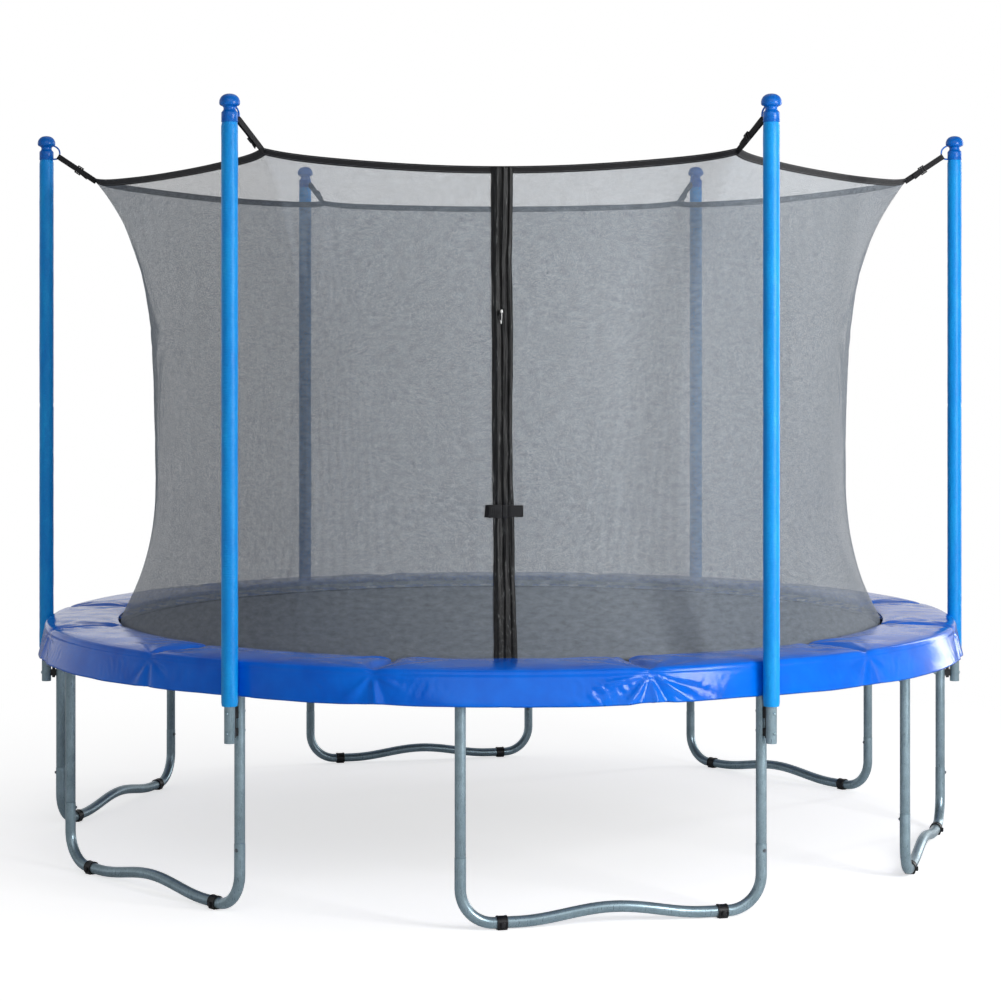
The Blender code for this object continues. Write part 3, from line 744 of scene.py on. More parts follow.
def sleeves(vinyl):
    """The foam sleeves: a slightly lumpy cover gathered at both ends, with a joint halfway up."""
    low_z, high_z = SLEEVE_LOW[2], SLEEVE_HIGH[2]
    radius = (SLEEVE_HIGH[1] - SLEEVE_LOW[1]) / 2
    steps, rows = 56, 150
    for index in range(LEG_COUNT):
        centre = polar(POLE_R, index * PITCH)
        seed = 11.3 * index

        def point(i, j):
            turn = 2 * math.pi * i / steps
            share = j / rows
            z = low_z + (high_z - low_z) * share
            end = min(share, 1 - share) * (high_z - low_z)
            tuck = 1 - ease(end / 0.012)
            joint = math.exp(-((z - (low_z + high_z) / 2) / 0.004) ** 2)
            ripple = 0.00055 * wobble(math.cos(turn) * 1.3 + seed, math.sin(turn) * 1.3, z * 16)
            ripple += 0.00035 * wobble(math.cos(turn) * 3 + seed, math.sin(turn) * 3, z * 55)
            crinkle = 0.0007 * wobble(turn * 4 + seed, z * 150, 2.0) * (1 - ease(end / 0.05))
            size = radius - 0.0006 + ripple + crinkle - 0.0022 * tuck ** 2 - 0.0010 * joint
            return centre + Vector((size * math.cos(turn), size * math.sin(turn), z))

        skin = grid(f"sleeve_cover_{index + 1}", steps, rows, point, wrap=True,
                    uv=lambda i, j: (radius * 2 * math.pi * i / steps, (high_z - low_z) * j / rows))
        ends = []
        for z, way in ((low_z, 1), (high_z, -1)):
            rim = [(radius - 0.0030, z + way * 0.0002), (radius - 0.006, z - way * 0.0001),
                   (TUBE_R + 0.0012, z + way * 0.0004), (TUBE_R + 0.0008, z + way * 0.012)]
            ends.append(lathe(f"sleeve_end_{index}_{z:.2f}", rim, 40, centre))
        made = join(f"sleeve_cover_{index + 1}", [skin, *ends])
        dress(made, vinyl, replaces=[f"foam_sleeve_{index + 1}"])


def caps(blue):
    """The moulded caps: collar with a chamfer, neck, mushroom head and a D-shaped loop for the strap."""
    z0 = CAP_LOW[2]
    top = CAP_HIGH[2] - z0
    outline = [(TUBE_R + 0.0006, 0.0), (0.0280, 0.0), (0.0288, 0.0008), (0.0288, 0.0318), (0.0278, 0.0342),
               (0.0232, 0.0395), (0.0216, 0.0425), (0.0213, 0.0475), (0.0222, 0.0515), (0.0262, 0.0548),
               (0.0325, 0.0578), (0.0352, 0.0615), (0.0360, 0.0665), (0.0356, 0.0725), (0.0338, 0.0788),
               (0.0306, 0.0850), (0.0262, 0.0900), (0.0205, 0.0940), (0.0140, 0.0966), (0.0070, top - 0.0004),
               (0.0, top)]
    smooth = smooth_path([Vector((r, 0, z)) for r, z in outline[3:]], 3)
    outline = outline[:3] + [(max(p.x, 0.0), min(p.z, top)) for p in smooth]
    for index in range(LEG_COUNT):
        angle = index * PITCH
        centre = polar(POLE_R, angle, z0)
        body = lathe(f"cap_body_{index}", outline, 56, centre)
        bead = lathe(f"cap_bead_{index}", [(0.0286, 0.0016), (0.0294, 0.0024), (0.0294, 0.0040),
                                           (0.0286, 0.0050)], 56, centre)
        outward = polar(1.0, angle)
        loop_points = [(0.022, 0.0040), (0.034, 0.0032), (0.046, 0.0060), (0.0530, 0.0140),
                       (0.0545, 0.0270), (0.0520, 0.0400), (0.0440, 0.0500), (0.0340, 0.0560),
                       (0.0250, 0.0590)]
        line = [centre - outward * reach + UP * z for reach, z in loop_points]
        loop = tube(f"cap_loop_{index}", smooth_path(line, 6), 0.0033, sides=14)
        made = join(f"cap_{index + 1}", [body, bead, loop])
        dress(made, blue, replaces=[f"pole_cap_{index + 1}"])


# Pad ----------------------------------------------------------------------------------------------
PAD_SEAMS = (-74, -44.5, -16.5, 11.5, 43.5, 75.5, 108, 140, 172.5, 199.5, 227.5, 256.5)
PAD_STRONG_SEAM = -74               # the skirt is gathered hardest here
FOAM_EDGE = 0.0240                  # height of the rim band above the skirt's seam
# Where the cover's zones end, as shares of its way round: the underside, the round inner edge, the
# pillow top, the round outer edge, and the rim band down to the skirt's seam.
UNDER_END, EDGE_END, TOP_END, BEND_END, SEAM_AT = 0.06, 0.16, 0.54, 0.67, 0.73


def nearest_seam(angle):
    """(distance along the ring to the nearest seam in metres, +1 or -1 for its side, the seam's number)."""
    best = None
    for number, seam in enumerate(PAD_SEAMS):
        off = (angle - seam + 180) % 360 - 180
        if best is None or abs(off) < abs(best[0]):
            best = (off, number)
    return math.radians(abs(best[0])) * 1.69, 1 if best[0] > 0 else -1, best[1]


def fan_folds(gap, rise, seed, count):
    """Folds that radiate from a gathered point: gap and rise are the two distances from it."""
    fan = math.atan2(rise, gap)
    phase = count * fan + seed + 0.45 * wobble(fan * 2.0, math.hypot(gap, rise) * 9, seed)
    ridge = 2 / math.pi * math.asin(math.sin(phase))
    return 0.75 * ridge + 0.25 * math.sin(1.9 * phase + seed)


def pad_flare(angle, z):
    """How far the skirt stands out from the circle through its places at the poles."""
    drop = clamp((PAD_TOP_Z - z) / (PAD_TOP_Z - SKIRT_LOW_Z))
    return PAD_FLARE * (1 - (1 - off_pole(angle)) ** 3) * (0.15 + 0.85 * drop)


def pad_point(angle, along):
    """A place on the pad's cover: along runs from the inner underside (0) over the top to the hem (1)."""
    gap, side, number = nearest_seam(angle)
    seed = number * 3.7 + side * 0.9
    strong = 1.7 if PAD_SEAMS[number] == PAD_STRONG_SEAM else 1.0
    fullness = 1 - math.exp(-(gap / 0.021) ** 1.25)
    inner = PAD_IN_R + 0.003 + 0.007 * math.exp(-gap / 0.10) + 0.062 * math.exp(-(gap / 0.012) ** 1.1)
    outer = PAD_EDGE_R - 0.0012
    floor_z = PAD_UNDER_Z + 0.0004
    half = 0.0013 + 0.0062 * fullness               # of the thickness at the inner edge
    rim_z = PAD_TOP_Z - 0.0020 - 0.0085 * (1 - fullness)
    skirt_top = PAD_TOP_Z - FOAM_EDGE
    if along < UNDER_END:                             # underside, back to the inner edge
        r = inner + 0.050 * (1 - along / UNDER_END)
        z, out = floor_z, 0.0
    elif along < EDGE_END:                            # round inner edge
        turn = math.pi * (along - UNDER_END) / (EDGE_END - UNDER_END)
        r = inner + 0.007 * (1 - math.sin(turn))
        z, out = floor_z + half * (1 - math.cos(turn)), 0.0
    elif along < TOP_END:                             # pillow top
        t = (along - EDGE_END) / (TOP_END - EDGE_END)
        r = inner + 0.007 + (outer - 0.013 - inner - 0.007) * t
        start = floor_z + 2 * half
        crown = (4 * t * (1 - t)) ** 0.55
        z = start + (rim_z - start) * ease(t)
        z += 0.0085 * crown * fullness * (1 - 0.35 * math.exp(-gap / 0.12))
        z -= 0.0055 * crown * (1 - fullness)
        from_inner, from_outer = r - inner + 0.01, outer + 0.01 - r
        low, high = math.hypot(gap, from_inner), math.hypot(gap, from_outer)
        folds = fan_folds(gap, from_inner, seed, 9) * math.exp(-low / 0.17) * ease(low / 0.05)
        folds += (0.8 * fan_folds(gap, from_outer, seed + 4, 11) * math.exp(-high / 0.13)
                  * ease(high / 0.05))
        z += 0.0072 * folds * clamp(crown * 1.6)
        z += 0.0022 * wobble(angle * 0.30, r * 8, seed * 0.1) * crown
        z = max(z, floor_z + 0.0018)
        out = 0.0
    elif along < BEND_END:                            # round outer edge of the foam
        t = (along - TOP_END) / (BEND_END - TOP_END)
        turn = math.pi / 2 * t
        r = outer - 0.013 + 0.013 * math.sin(turn)
        z = rim_z - 0.0105 * (1 - math.cos(turn))
        high = math.hypot(gap, 0.02)
        pucker = fan_folds(gap, 0.01 + 0.02 * t, seed + 4, 11) * math.exp(-high / 0.06)
        out = -0.0035 * (1 - fullness) * t + 0.0022 * pucker * t
    elif along < SEAM_AT:                             # rim band down to the skirt's seam
        t = (along - BEND_END) / (SEAM_AT - BEND_END)
        r = outer
        z = rim_z - 0.0105 + (skirt_top - rim_z + 0.0105) * t
        pucker = fan_folds(gap, 0.03, seed + 4, 11) * math.exp(-gap / 0.05)
        out = 0.0012 * math.sin(math.pi * t) - 0.0035 * (1 - fullness) + 0.0022 * pucker * (1 - t)
    else:                                             # skirt
        t = (along - SEAM_AT) / (1 - SEAM_AT)
        room = clamp(off_pole(angle) / 0.10)
        z = skirt_top + (SKIRT_LOW_Z + 0.001 - skirt_top) * t
        z += 0.0045 * t * wobble(number * 1.9 + (0.5 if side > 0 else 0.0), 0.3) * ease(gap / 0.012)
        z += 0.0022 * t * wobble(angle * 0.23, 4.4) + 0.0035 * t * strong * math.exp(-(gap / 0.06) ** 2)
        r = outer - 0.0022 * math.exp(-(t / 0.05) ** 2)
        drop = t * (skirt_top - SKIRT_LOW_Z)
        folds = fan_folds(gap, drop * 1.15 + 0.002, seed, 7 if strong == 1.0 else 9)
        out = 0.0066 * strong * folds * math.exp(-(gap / (0.075 * strong ** 1.4)) ** 2) * ease(t * 4) * room
        slant = angle * side * 1.05 + t * 1.3 + 0.7 * wobble(angle * 0.6, t * 2, seed)
        ridge = 2 / math.pi * math.asin(math.sin(2 * math.pi * slant))
        reach = math.exp(-((gap - 0.16) / 0.10) ** 2) * (1.0 if strong > 1 and side < 0 else 0.35)
        out += 0.0034 * ridge * reach * math.sin(math.pi * clamp(t * 0.9 + 0.05)) * room
        out += 0.0045 * wobble(angle * 0.13, t * 1.2, 9.0) * t * room
        out -= 0.0030 * (1 - fullness) * (1 - t)
        out += 0.0016 * (1 - ease(gap / 0.004)) * room
    r += out + pad_flare(angle, z) * (1 if along > 0.5 else ease((along - 0.30) / 0.20))
    return polar(r, angle, max(z, SKIRT_LOW_Z + 0.0004))


def pad_inside(angle, share):
    """A place on the cover's inner face: up behind the skirt (0 to 0.7), then in under the foam (to 1)."""
    if share < 0.7:
        spot = pad_point(angle, 1.0 - (1 - SEAM_AT) * share / 0.7)
        return spot - polar(0.0018, angle)
    inner, start = pad_point(angle, 0.0), pad_point(angle, SEAM_AT) - polar(0.006, angle)
    start.z = inner.z
    return start.lerp(inner, (share - 0.7) / 0.3)


def safety_pad(vinyl):
    """The padded ring's cover as one closed skin, with the welt between its rim and skirt."""
    columns, outside, inside = 1080, 66, 12

    def point(i, j):
        angle = 360 * i / columns - 90
        if j <= outside:
            return pad_point(angle, j / outside)
        return pad_inside(angle, (j - outside) / (inside + 1))

    cover = grid("pad_cover", columns, outside + inside + 1, point, wrap=True, flip=True, closed=True)
    with edited(cover) as shape:
        bmesh.ops.recalc_face_normals(shape, faces=shape.faces)
    dress(cover, vinyl, replaces=["safety_pad"])
    welt = [pad_point(360 * i / columns, SEAM_AT + 0.0005) for i in range(columns)]
    dress(tube("pad_welt", welt, 0.0014, sides=8, closed=True), vinyl)


# Mat and springs ----------------------------------------------------------------------------------
def jumping_mat(weave, webbing, painted_light_zinc, thread):
    """The woven mat, its doubled hem with stitching, and the tabs and V-rings round its edge."""
    columns, rows = 288, 40
    top = MAT_TOP_Z - 0.0006

    def top_point(i, j):
        r = (MAT_R - 0.004) * (j / rows) ** 0.8
        x, y, _ = polar(3 * r, 360 * i / columns)
        return polar(r, 360 * i / columns, top - 0.0010 + 0.0004 * wobble(x, y))

    bed = weld(grid("mat_bed", columns, rows, top_point, wrap=True, flip=True))
    dress(thicken(bed, 0.0012, 0.0), weave, body="mat", replaces=["jumping_mat"])
    hem_shape = ((0.052, -0.0011), (0.051, 0.0004), (0.006, 0.0005), (0.001, -0.0004), (0.001, -0.0020),
                 (0.006, -0.0026), (0.052, -0.0022), (0.052, -0.0011))    # in from the edge, up from the top
    hem = lathe("mat_hem", [(MAT_R - inset, top + lift) for inset, lift in hem_shape], columns)
    dress(hem, webbing, body="mat")
    stitches = [stitch_ring(f"stitch_{inset}", MAT_R - inset, top + 0.0007)
                for inset in (0.047, 0.028, 0.010)]
    dress(join("mat_stitching", stitches), thread, body="mat")
    tabs, rings = [], []
    for i in range(SPRING_COUNT):
        angle = (i + 0.5) * 360 / SPRING_COUNT
        tabs.append(rounded_box(f"tab_{i}", (0.040, 0.020, 0.0016), polar(MAT_R - 0.026, angle, top + 0.0010),
                                basis(*axes(angle)), 0.0006, 1))
        rings.append(v_ring(f"v_{i}", angle))
    dress(join("mat_tabs", tabs), webbing, body="mat")
    # The V-rings' near-white colour is painted light, so they show as bright dashes in the shade under the pad.
    dress(join("mat_v_rings", rings), painted_light_zinc, body="mat")


def stitch_ring(name, radius, z):
    """A circle of short stitches, each a small ridge."""
    pitch, length, half_width, height = 0.0125, 0.0085, 0.0007, 0.0006
    count = int(2 * math.pi * radius / pitch)
    verts, faces = [], []
    for i in range(count):
        angle = 360 * i / count
        out, side = axes(angle)
        k = len(verts)
        for a, b, lift in ((-1, -1, 0), (1, -1, 0), (1, 1, 0), (-1, 1, 0), (-0.6, 0, 1), (0.6, 0, 1)):
            verts.append(polar(radius, angle, z) + side * (length / 2 * a) + out * (half_width * b)
                         + UP * (height * lift))
        faces += [(k, k + 1, k + 5, k + 4), (k + 3, k + 4, k + 5, k + 2), (k, k + 4, k + 3),
                  (k + 1, k + 2, k + 5), (k, k + 3, k + 2, k + 1)]
    return make_object(name, verts, faces, smooth=False)


def v_ring(name, angle):
    """A bent wire triangle sewn into the mat's edge: its point takes the spring's hook."""
    outward, side = axes(angle)
    corners = ((-0.010, -0.024), (-0.010, 0.0), (-0.010, 0.024), (0.008, 0.007), (0.0155, 0.0),
               (0.008, -0.007))
    points = [outward * (MAT_R + r) + side * s + UP * (MAT_TOP_Z + 0.0055) for r, s in corners]
    return tube(name, smooth_path(points, 4, closed=True), 0.0032, sides=8, closed=True)


def springs(steel):
    """The extension springs: a hook in a V-ring, a close coil and a hook in the ring rail."""
    hook_steps, turns, per_turn = 6, 20, 9
    coil_r, wire_r = 0.0072, 0.0018
    start = Vector((MAT_R + 0.0115, 0, MAT_TOP_Z + 0.0030))
    end = Vector((RING_R - TUBE_R - 0.0005, 0, RING_Z + 0.004))
    length, along, side = (end - start).length, (end - start).normalized(), Vector((0, 1, 0))
    up = along.cross(side)
    line = []
    for s in range(hook_steps + 1):                   # hook through the V-ring
        turn = math.radians(200 - 200 * s / hook_steps)
        line.append(start + along * 0.006 * (1 + math.cos(turn)) + up * 0.0055 * math.sin(turn))
    coil_from, coil_to = 0.022, length - 0.026
    for s in range(turns * per_turn + 1):
        turn, share = 2 * math.pi * s / per_turn, s / (turns * per_turn)
        line.append(start + along * (coil_from + (coil_to - coil_from) * share)
                    + side * coil_r * math.sin(turn) + up * coil_r * math.cos(turn))
    line += [start + along * (length + on) + up * lift
             for on, lift in ((-0.018, 0.004), (-0.008, 0.0065), (0.004, 0.0115), (0.012, 0.0165))]
    for i in range(SPRING_COUNT):
        turned = Matrix.Rotation(math.radians((i + 0.5) * 360 / SPRING_COUNT), 3, "Z")
        made = tube(f"spring_{i + 1:02d}", [turned @ p for p in line], wire_r, sides=6)
        dress(made, steel, blend=(turned @ start, turned @ end),
              replaces=["spring_set"] if i == 0 else ())


# Net ----------------------------------------------------------------------------------------------
def net_top(angle):
    """Height of the top hem: it sags between the corners, most where it carries the zip."""
    near = 1 - off_pole(angle)
    turned = (angle + 180) % 360 - 180
    sag = NET_FRONT_SAG if abs(turned + 90) < PITCH / 2 else NET_SAG
    return NET_TOP_Z - NET_PEAK * (1 - near ** 14) - sag * (1 - near ** 2)


def net_radius(angle, z):
    """Radius of the net: corners under the poles are drawn outward, most of all at the top hem."""
    top = net_top(angle)
    near = 1 - off_pole(angle)
    if z > NET_WAIST_Z:
        lift = clamp((z - NET_WAIST_Z) / (top - NET_WAIST_Z)) ** 3.0
        corner = NET_WAIST_CORNER_R + (NET_TOP_CORNER_R - NET_WAIST_CORNER_R) * lift
        corner += 0.012 * near ** 12 * lift ** 3
    else:
        drop = clamp((NET_WAIST_Z - z) / (NET_WAIST_Z - PAD_TOP_Z)) ** 3.1
        corner = NET_WAIST_CORNER_R + (NET_LOW_R - NET_WAIST_CORNER_R) * drop
    lean = max(0.0, (z - NET_MID_LOW_Z) / (top - NET_MID_LOW_Z))
    bulge = clamp((NET_MID_LOW_Z - z) / (NET_MID_LOW_Z - PAD_TOP_Z)) ** 1.8
    middle = NET_MID_LOW_R + (NET_TOP_MID_R - NET_MID_LOW_R) * lean + (NET_LOW_R - NET_MID_LOW_R) * bulge
    return middle + (corner - middle) * near ** 2.2


def net_fold(angle, z):
    """Soft folds: a few hang from each corner and fade down the wall, over a slow sway."""
    corner = (angle + PITCH / 2) % PITCH - PITCH / 2
    down = clamp((net_top(angle) - z) / (net_top(angle) - NET_LOW_Z))
    near = math.exp(-(corner / (4.0 + 14.0 * down)) ** 2)
    pole = math.floor((angle + PITCH / 2) / PITCH)
    fold = math.sin(corner * 6.0 / (0.4 + 1.6 * down) + pole * 1.7)
    depth = 0.0045 * near * fold * math.sin(math.pi * down ** 0.6) ** 1.2
    sway = 0.006 * wobble(angle * 0.06, z * 1.3, 2.0) + 0.0022 * wobble(angle * 0.22, z * 2.6, 7.0)
    sway += 0.0012 * wobble(angle * 0.5, z * 9.0, 3.0)
    return (depth + sway) * ease(down / 0.05) * ease((1 - down) / 0.10)


def net_point(angle, z, out=0.0):
    quiet = ease((abs((angle + 90 + 180) % 360 - 180) - 1.2) / 3.0)
    radius = net_radius(angle, z) + net_fold(angle, z) * quiet + out
    return polar(min(radius, NET_TOP_CORNER_R + 0.014), angle, z)


def enclosure_net(mesh_look, webbing, thread, flap_cloth, black):
    """The net wall, its hem and stitching, the crinkled zip cover, and the corner straps."""
    columns, rows = NET_COLUMNS, 90
    sway = ((0, 0, NET_LOW_Z + 0.002), (0, 0, 1.30))  # from just above the mat's top to 1.30 m, passed to dress as the blend

    def place(i, j):
        angle = 360 * i / columns
        return angle, NET_LOW_Z + (net_top(angle) - NET_LOW_Z) * j / rows

    net = grid("net_wall", columns, rows, lambda i, j: net_point(*place(i, j)),
               uv=lambda i, j: (NET_LENGTH * i / columns, place(i, j)[1]))
    with edited(net) as shape:                        # joins the first and last column, keeping the UVs
        bmesh.ops.remove_doubles(shape, verts=shape.verts, dist=0.00001)
    dress(net, mesh_look, replaces=["enclosure_net"], blend=sway)
    hem = dress(band("net_hem", 0.026, 0.0011), webbing)
    angles = [360 * i / columns for i in range(columns)]
    stitching = [tube(f"hem_stitch_{drop}", [net_point(angle, net_top(angle) - drop) + polar(0.0017, angle)
                                             for angle in angles], 0.0005, sides=5, closed=True)
                 for drop in (0.004, 0.021)]
    dress(join("net_hem_stitching", stitching), thread)
    flap = dress(zip_flap(), flap_cloth, blend=sway)
    low = dress(band("net_foot_tape", 0.004, 0.0010, at_foot=True), webbing, body="mat")
    pieces = [hem, flap, low]
    for index in range(LEG_COUNT):
        pieces += corner_strap(index, webbing, black)


def band(name, height, proud, at_foot=False):
    """A strip of webbing sewn over the net's edge, on both faces and round the edge."""
    profile = [(-proud, height), (-proud, 0.001), (0.0, -0.0006), (proud, 0.001), (proud, height),
               (0.0, height)]

    def point(i, j):
        angle = 360 * i / NET_COLUMNS
        out, drop = profile[j % len(profile)]
        return net_point(angle, NET_LOW_Z + drop if at_foot else net_top(angle) - drop, out)

    made = grid(name, NET_COLUMNS, len(profile), point, wrap=True,
                uv=lambda i, j: (j * 0.012, NET_LENGTH * i / NET_COLUMNS))
    return sharpen(weld(made), 50)


def zip_flap():
    """The gathered cover over the zip: a narrow strip with folds that wander along its length."""
    rows, columns, width = 260, 30, 0.071
    low_z, high_z = NET_LOW_Z + 0.004, net_top(-90) - 0.001

    def point(i, j):
        z = low_z + (high_z - low_z) * j / rows
        across = i / columns * 2 - 1
        edge = 1 - abs(across) ** 6
        drift = 0.001 + 0.011 * ease((1.9 - z) / 1.0)
        drift += 0.004 * wobble(z * 2.3, 5.0) + 0.0015 * wobble(z * 9, 8.0)
        half = width / 2 * (1 + 0.07 * wobble(z * 3.1, 1.5) + 0.03 * wobble(z * 14, 3.5))
        phase = across * 9.5 + 1.3 * wobble(z * 2.0, across * 1.5, 4.0)
        fold = 0.0042 * math.sin(phase) + 0.0020 * math.sin(phase * 2.3 + 5 * wobble(z * 3.5, 2.2))
        fold += 0.0022 * wobble(z * 16, across * 4, 1.0)
        x = across * half + drift + 0.0035
        angle = -90 + math.degrees(x / 1.33)
        out = 0.0030 + edge * (0.0062 + fold)
        track = math.exp(-(x / 0.0085) ** 4) * (z < SLIDER_Z + 0.03)    # flat where the slider runs
        out -= track * max(out - 0.0098, 0.0)
        pinch = math.exp(-((z - BUCKLE_Z) / 0.022) ** 2)
        out = out * (1 - 0.75 * pinch) + 0.0005
        return polar(net_radius(-90, z) + max(out, 0.0015), angle, z)

    strip = grid("zip_cover", columns, rows, point, uv=lambda i, j: (width * i / columns, 1.8 * j / rows))
    return thicken(strip, 0.0007, -1.0)


def corner_strap(index, webbing, black):
    """Webbing on edge from the cap's loop to the net's corner: a doubled run, a ladder lock and a tail."""
    outward, side = axes(index * PITCH)
    loop = outward * (POLE_R - 0.0512) + UP * (CAP_LOW[2] + 0.0122)
    corner = outward * (NET_TOP_CORNER_R + 0.006) + UP * (NET_TOP_Z - 0.010)
    run = corner - loop
    away = run.normalized()
    across = side.cross(away)

    def at(share, aside, lift=0.0):
        return loop + run * share + side * aside + across * lift

    around = [at(1.04, 0.0010), at(0.92, 0.0012), at(0.75, 0.0022), at(0.40, 0.0036), at(0.10, 0.0046),
              at(0.0, 0.0044), at(-0.022, 0.0026), at(-0.028, 0.0), at(-0.022, -0.0026), at(0.0, -0.0044),
              at(0.10, -0.0048), at(0.34, -0.0042), at(0.55, -0.0050), at(0.60, -0.0062)]
    width = 0.0225
    made = [ribbon(f"strap_run_{index}", smooth_path(around, 5), across, width, 0.0016)]
    sewn = [at(0.56, -0.0080), at(0.66, -0.0042), at(0.80, -0.0020), at(0.95, -0.0012), at(1.06, -0.0012)]
    made.append(ribbon(f"strap_sewn_{index}", smooth_path(sewn, 5), across, width, 0.0016))
    tail = [at(0.55, -0.0030), at(0.64, -0.0088, -0.0010), at(0.74, -0.0105, -0.0030),
            at(0.83, -0.0100, -0.0048)]
    made.append(ribbon(f"strap_tail_{index}", smooth_path(tail, 5), across, width * 0.96, 0.0015))
    strap = join(f"corner_strap_{index + 1}", made)
    dress(strap, webbing)
    turn = basis(away, across, side)
    centre = at(0.58, -0.0058)
    bars = []
    for shift, lift in ((-0.0125, 0.0), (-0.0020, -0.0016), (0.0085, 0.0)):
        bars.append(rounded_box(f"lock_bar_{index}_{shift}", (0.0046, 0.033, 0.0050),
                                centre + turn @ Vector((shift, 0, lift)), turn, 0.0013))
    for way in (-1, 1):
        bars.append(rounded_box(f"lock_side_{index}_{way}", (0.0275, 0.0046, 0.0068),
                                centre + turn @ Vector((-0.0020, way * 0.0146, 0)), turn, 0.0015))
    lock = join(f"ladder_lock_{index + 1}", bars)
    dress(lock, black)
    return [strap, lock]


# Zip and buckle -----------------------------------------------------------------------------------
def zip_parts(black, white, webbing):
    """The slider with its cord pull, and the side-release buckle with its two short tails."""
    lean = math.atan2(NET_MID_LOW_R - NET_TOP_MID_R, net_top(-90) - NET_MID_LOW_Z)
    front = Vector((0, -net_radius(-90, SLIDER_Z), SLIDER_Z))
    out = Vector((0, -math.cos(lean), math.sin(lean)))
    up = Vector((0, math.sin(lean), math.cos(lean)))
    across = Vector((1, 0, 0))
    turn = basis(across, -out, up)

    def at(off, rise, aside=0.0):
        return front + out * off + up * rise + across * aside

    body = rounded_box("slider_body", (0.011, 0.0060, 0.017), at(0.0145, 0.010), turn, 0.0020)
    arch = [at(0.0165, 0.004), at(0.0205, 0.007), at(0.0205, 0.013), at(0.0165, 0.017)]
    bridge = tube("slider_bridge", smooth_path(arch, 6), 0.0013, sides=8)
    tab = rounded_box("slider_tab", (0.0075, 0.0022, 0.020), at(0.0200, -0.004), turn, 0.0009)
    slider = join("zip_slider_body", [body, bridge, tab])
    dress(slider, black, body="slider", replaces=["zip_slider"])
    bead = lathe("pull_bead", [(0.0, -0.0062), (0.0030, -0.0056), (0.0045, -0.0024), (0.0045, 0.0024),
                               (0.0030, 0.0056), (0.0, 0.0062)], 20, at(0.0215, 0.016, 0.0040))
    dress(bead, white, body="slider")
    line = [at(0.0215, 0.016, 0.0040), at(0.0215, 0.0, 0.0050), at(0.0215, -0.016, 0.0040),
            at(0.0215, -0.028, 0.0025), at(0.0208, -0.016)]
    dress(tube("pull_cord", smooth_path(line, 6), 0.0011, sides=8), white, body="slider")
    buckle(black, webbing)


def buckle(black, webbing):
    """Side-release buckle: a socket half sewn to the left tape and a clip half on the right tape."""
    y = -net_radius(-90, BUCKLE_Z + 0.022) - 0.0062
    left, right = BUCKLE_JOINT_X - 0.026, BUCKLE_JOINT_X + 0.0006

    def block(size, x, behind, rise, radius, segments=3):
        return rounded_box("buckle_part", size, (x, y + behind, BUCKLE_Z + rise), None, radius, segments)

    def tail(name, places, across, width, thickness):
        line = smooth_path([(x, y + behind, BUCKLE_Z) for x, behind in places], 5)
        return ribbon(name, line, across, width, thickness)

    shell = [block((0.046, 0.0030, 0.047), left + 0.002, -0.0042, 0, 0.0013),
             block((0.050, 0.0020, 0.045), left, 0.0036, 0, 0.0009)]
    clip = [block((0.017, 0.0076, 0.046), right + 0.0090, -0.0006, 0, 0.0020),
            block((0.0050, 0.0060, 0.050), right + 0.0330, -0.0006, 0, 0.0018),
            block((0.022, 0.0036, 0.012), right - 0.0105, -0.0002, 0, 0.0012)]
    for way in (-1, 1):
        shell += [block((0.024, 0.0078, 0.0050), left + 0.011, -0.0006, way * 0.0186, 0.0016),
                  block((0.012, 0.0080, 0.0050), left - 0.018, -0.0006, way * 0.0186, 0.0016)]
        clip += [block((0.020, 0.0060, 0.0045), right + 0.0245, -0.0006, way * 0.0188, 0.0016),
                 block((0.024, 0.0036, 0.0046), right - 0.0100, -0.0002, way * 0.0120, 0.0014)]
    for k in range(3):
        shell.append(block((0.0018, 0.0012, 0.026), left - 0.012 + 0.006 * k, -0.0060, 0, 0.0004, 2))
    dress(join("buckle_socket", shell), black)
    dress(join("buckle_clip_half", clip), black, body="clip", replaces=["buckle_clip"])
    socket_tail = tail("buckle_tail_left", [(left - 0.020, -0.0010), (left - 0.026, 0.0010),
                                            (left - 0.031, 0.0035), (left - 0.035, 0.0062)],
                       (0.10, 0, 1), 0.044, 0.0016)
    dress(socket_tail, webbing)
    clip_tail = tail("buckle_tail_right", [(right + 0.018, -0.0012), (right + 0.026, -0.0030),
                                           (right + 0.038, -0.0022), (right + 0.058, 0.0010),
                                           (right + 0.074, 0.0042)], UP, 0.042, 0.0018)
    dress(clip_tail, webbing, body="clip")


# Studio -------------------------------------------------------------------------------------------
CAMERA_DISTANCE = 9.993
CAMERA_HEIGHT = 1.941
CAMERA_LENS = 87.25
CAMERA_SHIFT = -0.144


def backdrop():
    """White where the camera sees it, and a soft studio dome for the light that it gives."""
    world = bpy.data.worlds.new("studio")
    world.use_nodes = True
    bpy.context.scene.world = world
    tree = Nodes(world.node_tree)
    split = tree.add("SeparateXYZ", {"Vector": tree.add("TexCoord").outputs["Generated"]})
    stops = ((0.0, 0.92), (0.14, 0.82), (0.45, 0.42), (1.0, 0.26))
    dome = tree.ramp(split.outputs["Z"], *((position, (level, level, level * 1.01))
                                           for position, level in stops))
    behind = tree.add("MapRange", {"Value": split.outputs["Y"], "From Min": -0.5, "From Max": 0.35,
                                   "To Min": 0.42, "To Max": 1.0}).outputs[0]
    shade = tree.mix(1.0, dome, behind, blend_type="MULTIPLY")
    seen = tree.add("LightPath").outputs["Is Camera Ray"]
    tree.put(tree.mix(seen, shade, (1.0, 1.0, 1.0, 1.0)), tree.nodes["Background"].inputs["Color"])


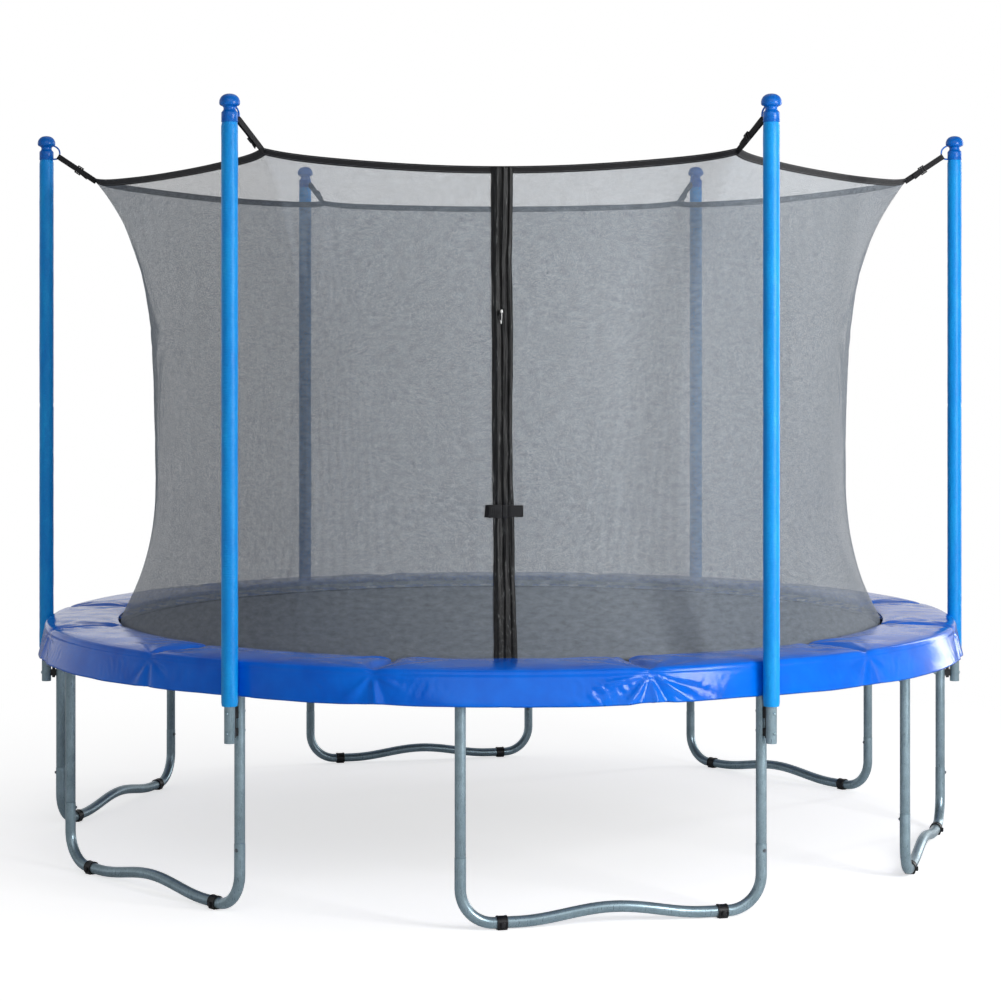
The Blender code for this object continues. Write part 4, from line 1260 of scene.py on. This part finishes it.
def studio():
    """A pale floor and backdrop, soft area lights and the camera."""
    floor = make_object("studio_floor", [(-40, -40, 0), (40, -40, 0), (40, 40, 0), (-40, 40, 0)],
                        [(0, 1, 2, 3)], smooth=False)
    floor.location.z = -0.0005
    floor.data.materials.append(floor_look())
    backdrop()
    for name, place, size, power, target in (
            ("key", (4.6, -5.0, 2.5), (1.8, 2.6), 250, (0, -0.5, 1.2)),
            ("strip", (6.5, 4.5, 2.4), (0.9, 5.0), 120, (0, 0, 1.6)),
            ("front", (1.0, -9.5, 6.5), (9.0, 6.0), 200, (0, 0, 1.0)),
            ("top", (0.0, 1.0, 8.0), (5.0, 5.0), 45, (0, 0, 0.8))):
        lamp = bpy.data.lights.new(name, "AREA")
        lamp.shape = "RECTANGLE"
        lamp.size, lamp.size_y = size
        lamp.energy = power
        made = link(name, lamp)
        made.location = place
        made.rotation_euler = (Vector(target) - Vector(place)).to_track_quat("-Z", "Y").to_euler()
    lens = bpy.data.cameras.new("camera")
    lens.lens = CAMERA_LENS
    lens.shift_y = CAMERA_SHIFT
    lens.clip_end = 200
    camera = link("camera", lens)
    camera.location = (0.0, -CAMERA_DISTANCE, CAMERA_HEIGHT)
    camera.rotation_euler = (math.radians(90), 0, 0)
    bpy.context.scene.camera = camera
    bpy.context.scene.view_settings.view_transform = "Standard"


def main():
    steel = steel_look("galvanised_tube", srgb(128, 150, 160), srgb(158, 181, 192), 0.27, 0.60)
    screw_steel = steel_look("zinc_screws", srgb(96, 104, 110), srgb(140, 148, 154), 0.34, 0.8)
    spring_steel = steel_look("spring_wire", srgb(150, 152, 156), srgb(208, 210, 214), 0.26, 0.95)
    # Near white and nearly matt: painted light for the V-rings, which sit in the shade under the pad.
    painted_light_zinc = steel_look("zinc_painted_bright", srgb(232, 234, 236), srgb(250, 251, 252), 0.42, 0.10)
    black = plastic_look("black_plastic", srgb(18, 18, 20), srgb(38, 39, 42), 0.38)
    white = plastic_look("white_plastic", srgb(214, 214, 212), srgb(240, 240, 238), 0.4)
    blue = plastic_look("cap_blue", srgb(0, 92, 186), srgb(0, 108, 202), 0.26)
    thread = plastic_look("thread", srgb(70, 72, 76), srgb(112, 114, 118), 0.6)
    webbing = webbing_look()

    studio()
    ring(steel)
    legs(steel, screw_steel, black)
    poles(steel, black)
    sleeves(sleeve_look())
    caps(blue)
    safety_pad(pad_look())
    jumping_mat(mat_look(), webbing, painted_light_zinc, thread)
    springs(spring_steel)
    enclosure_net(net_look(), webbing, thread, flap_look(), black)
    zip_parts(black, white, webbing)


main()
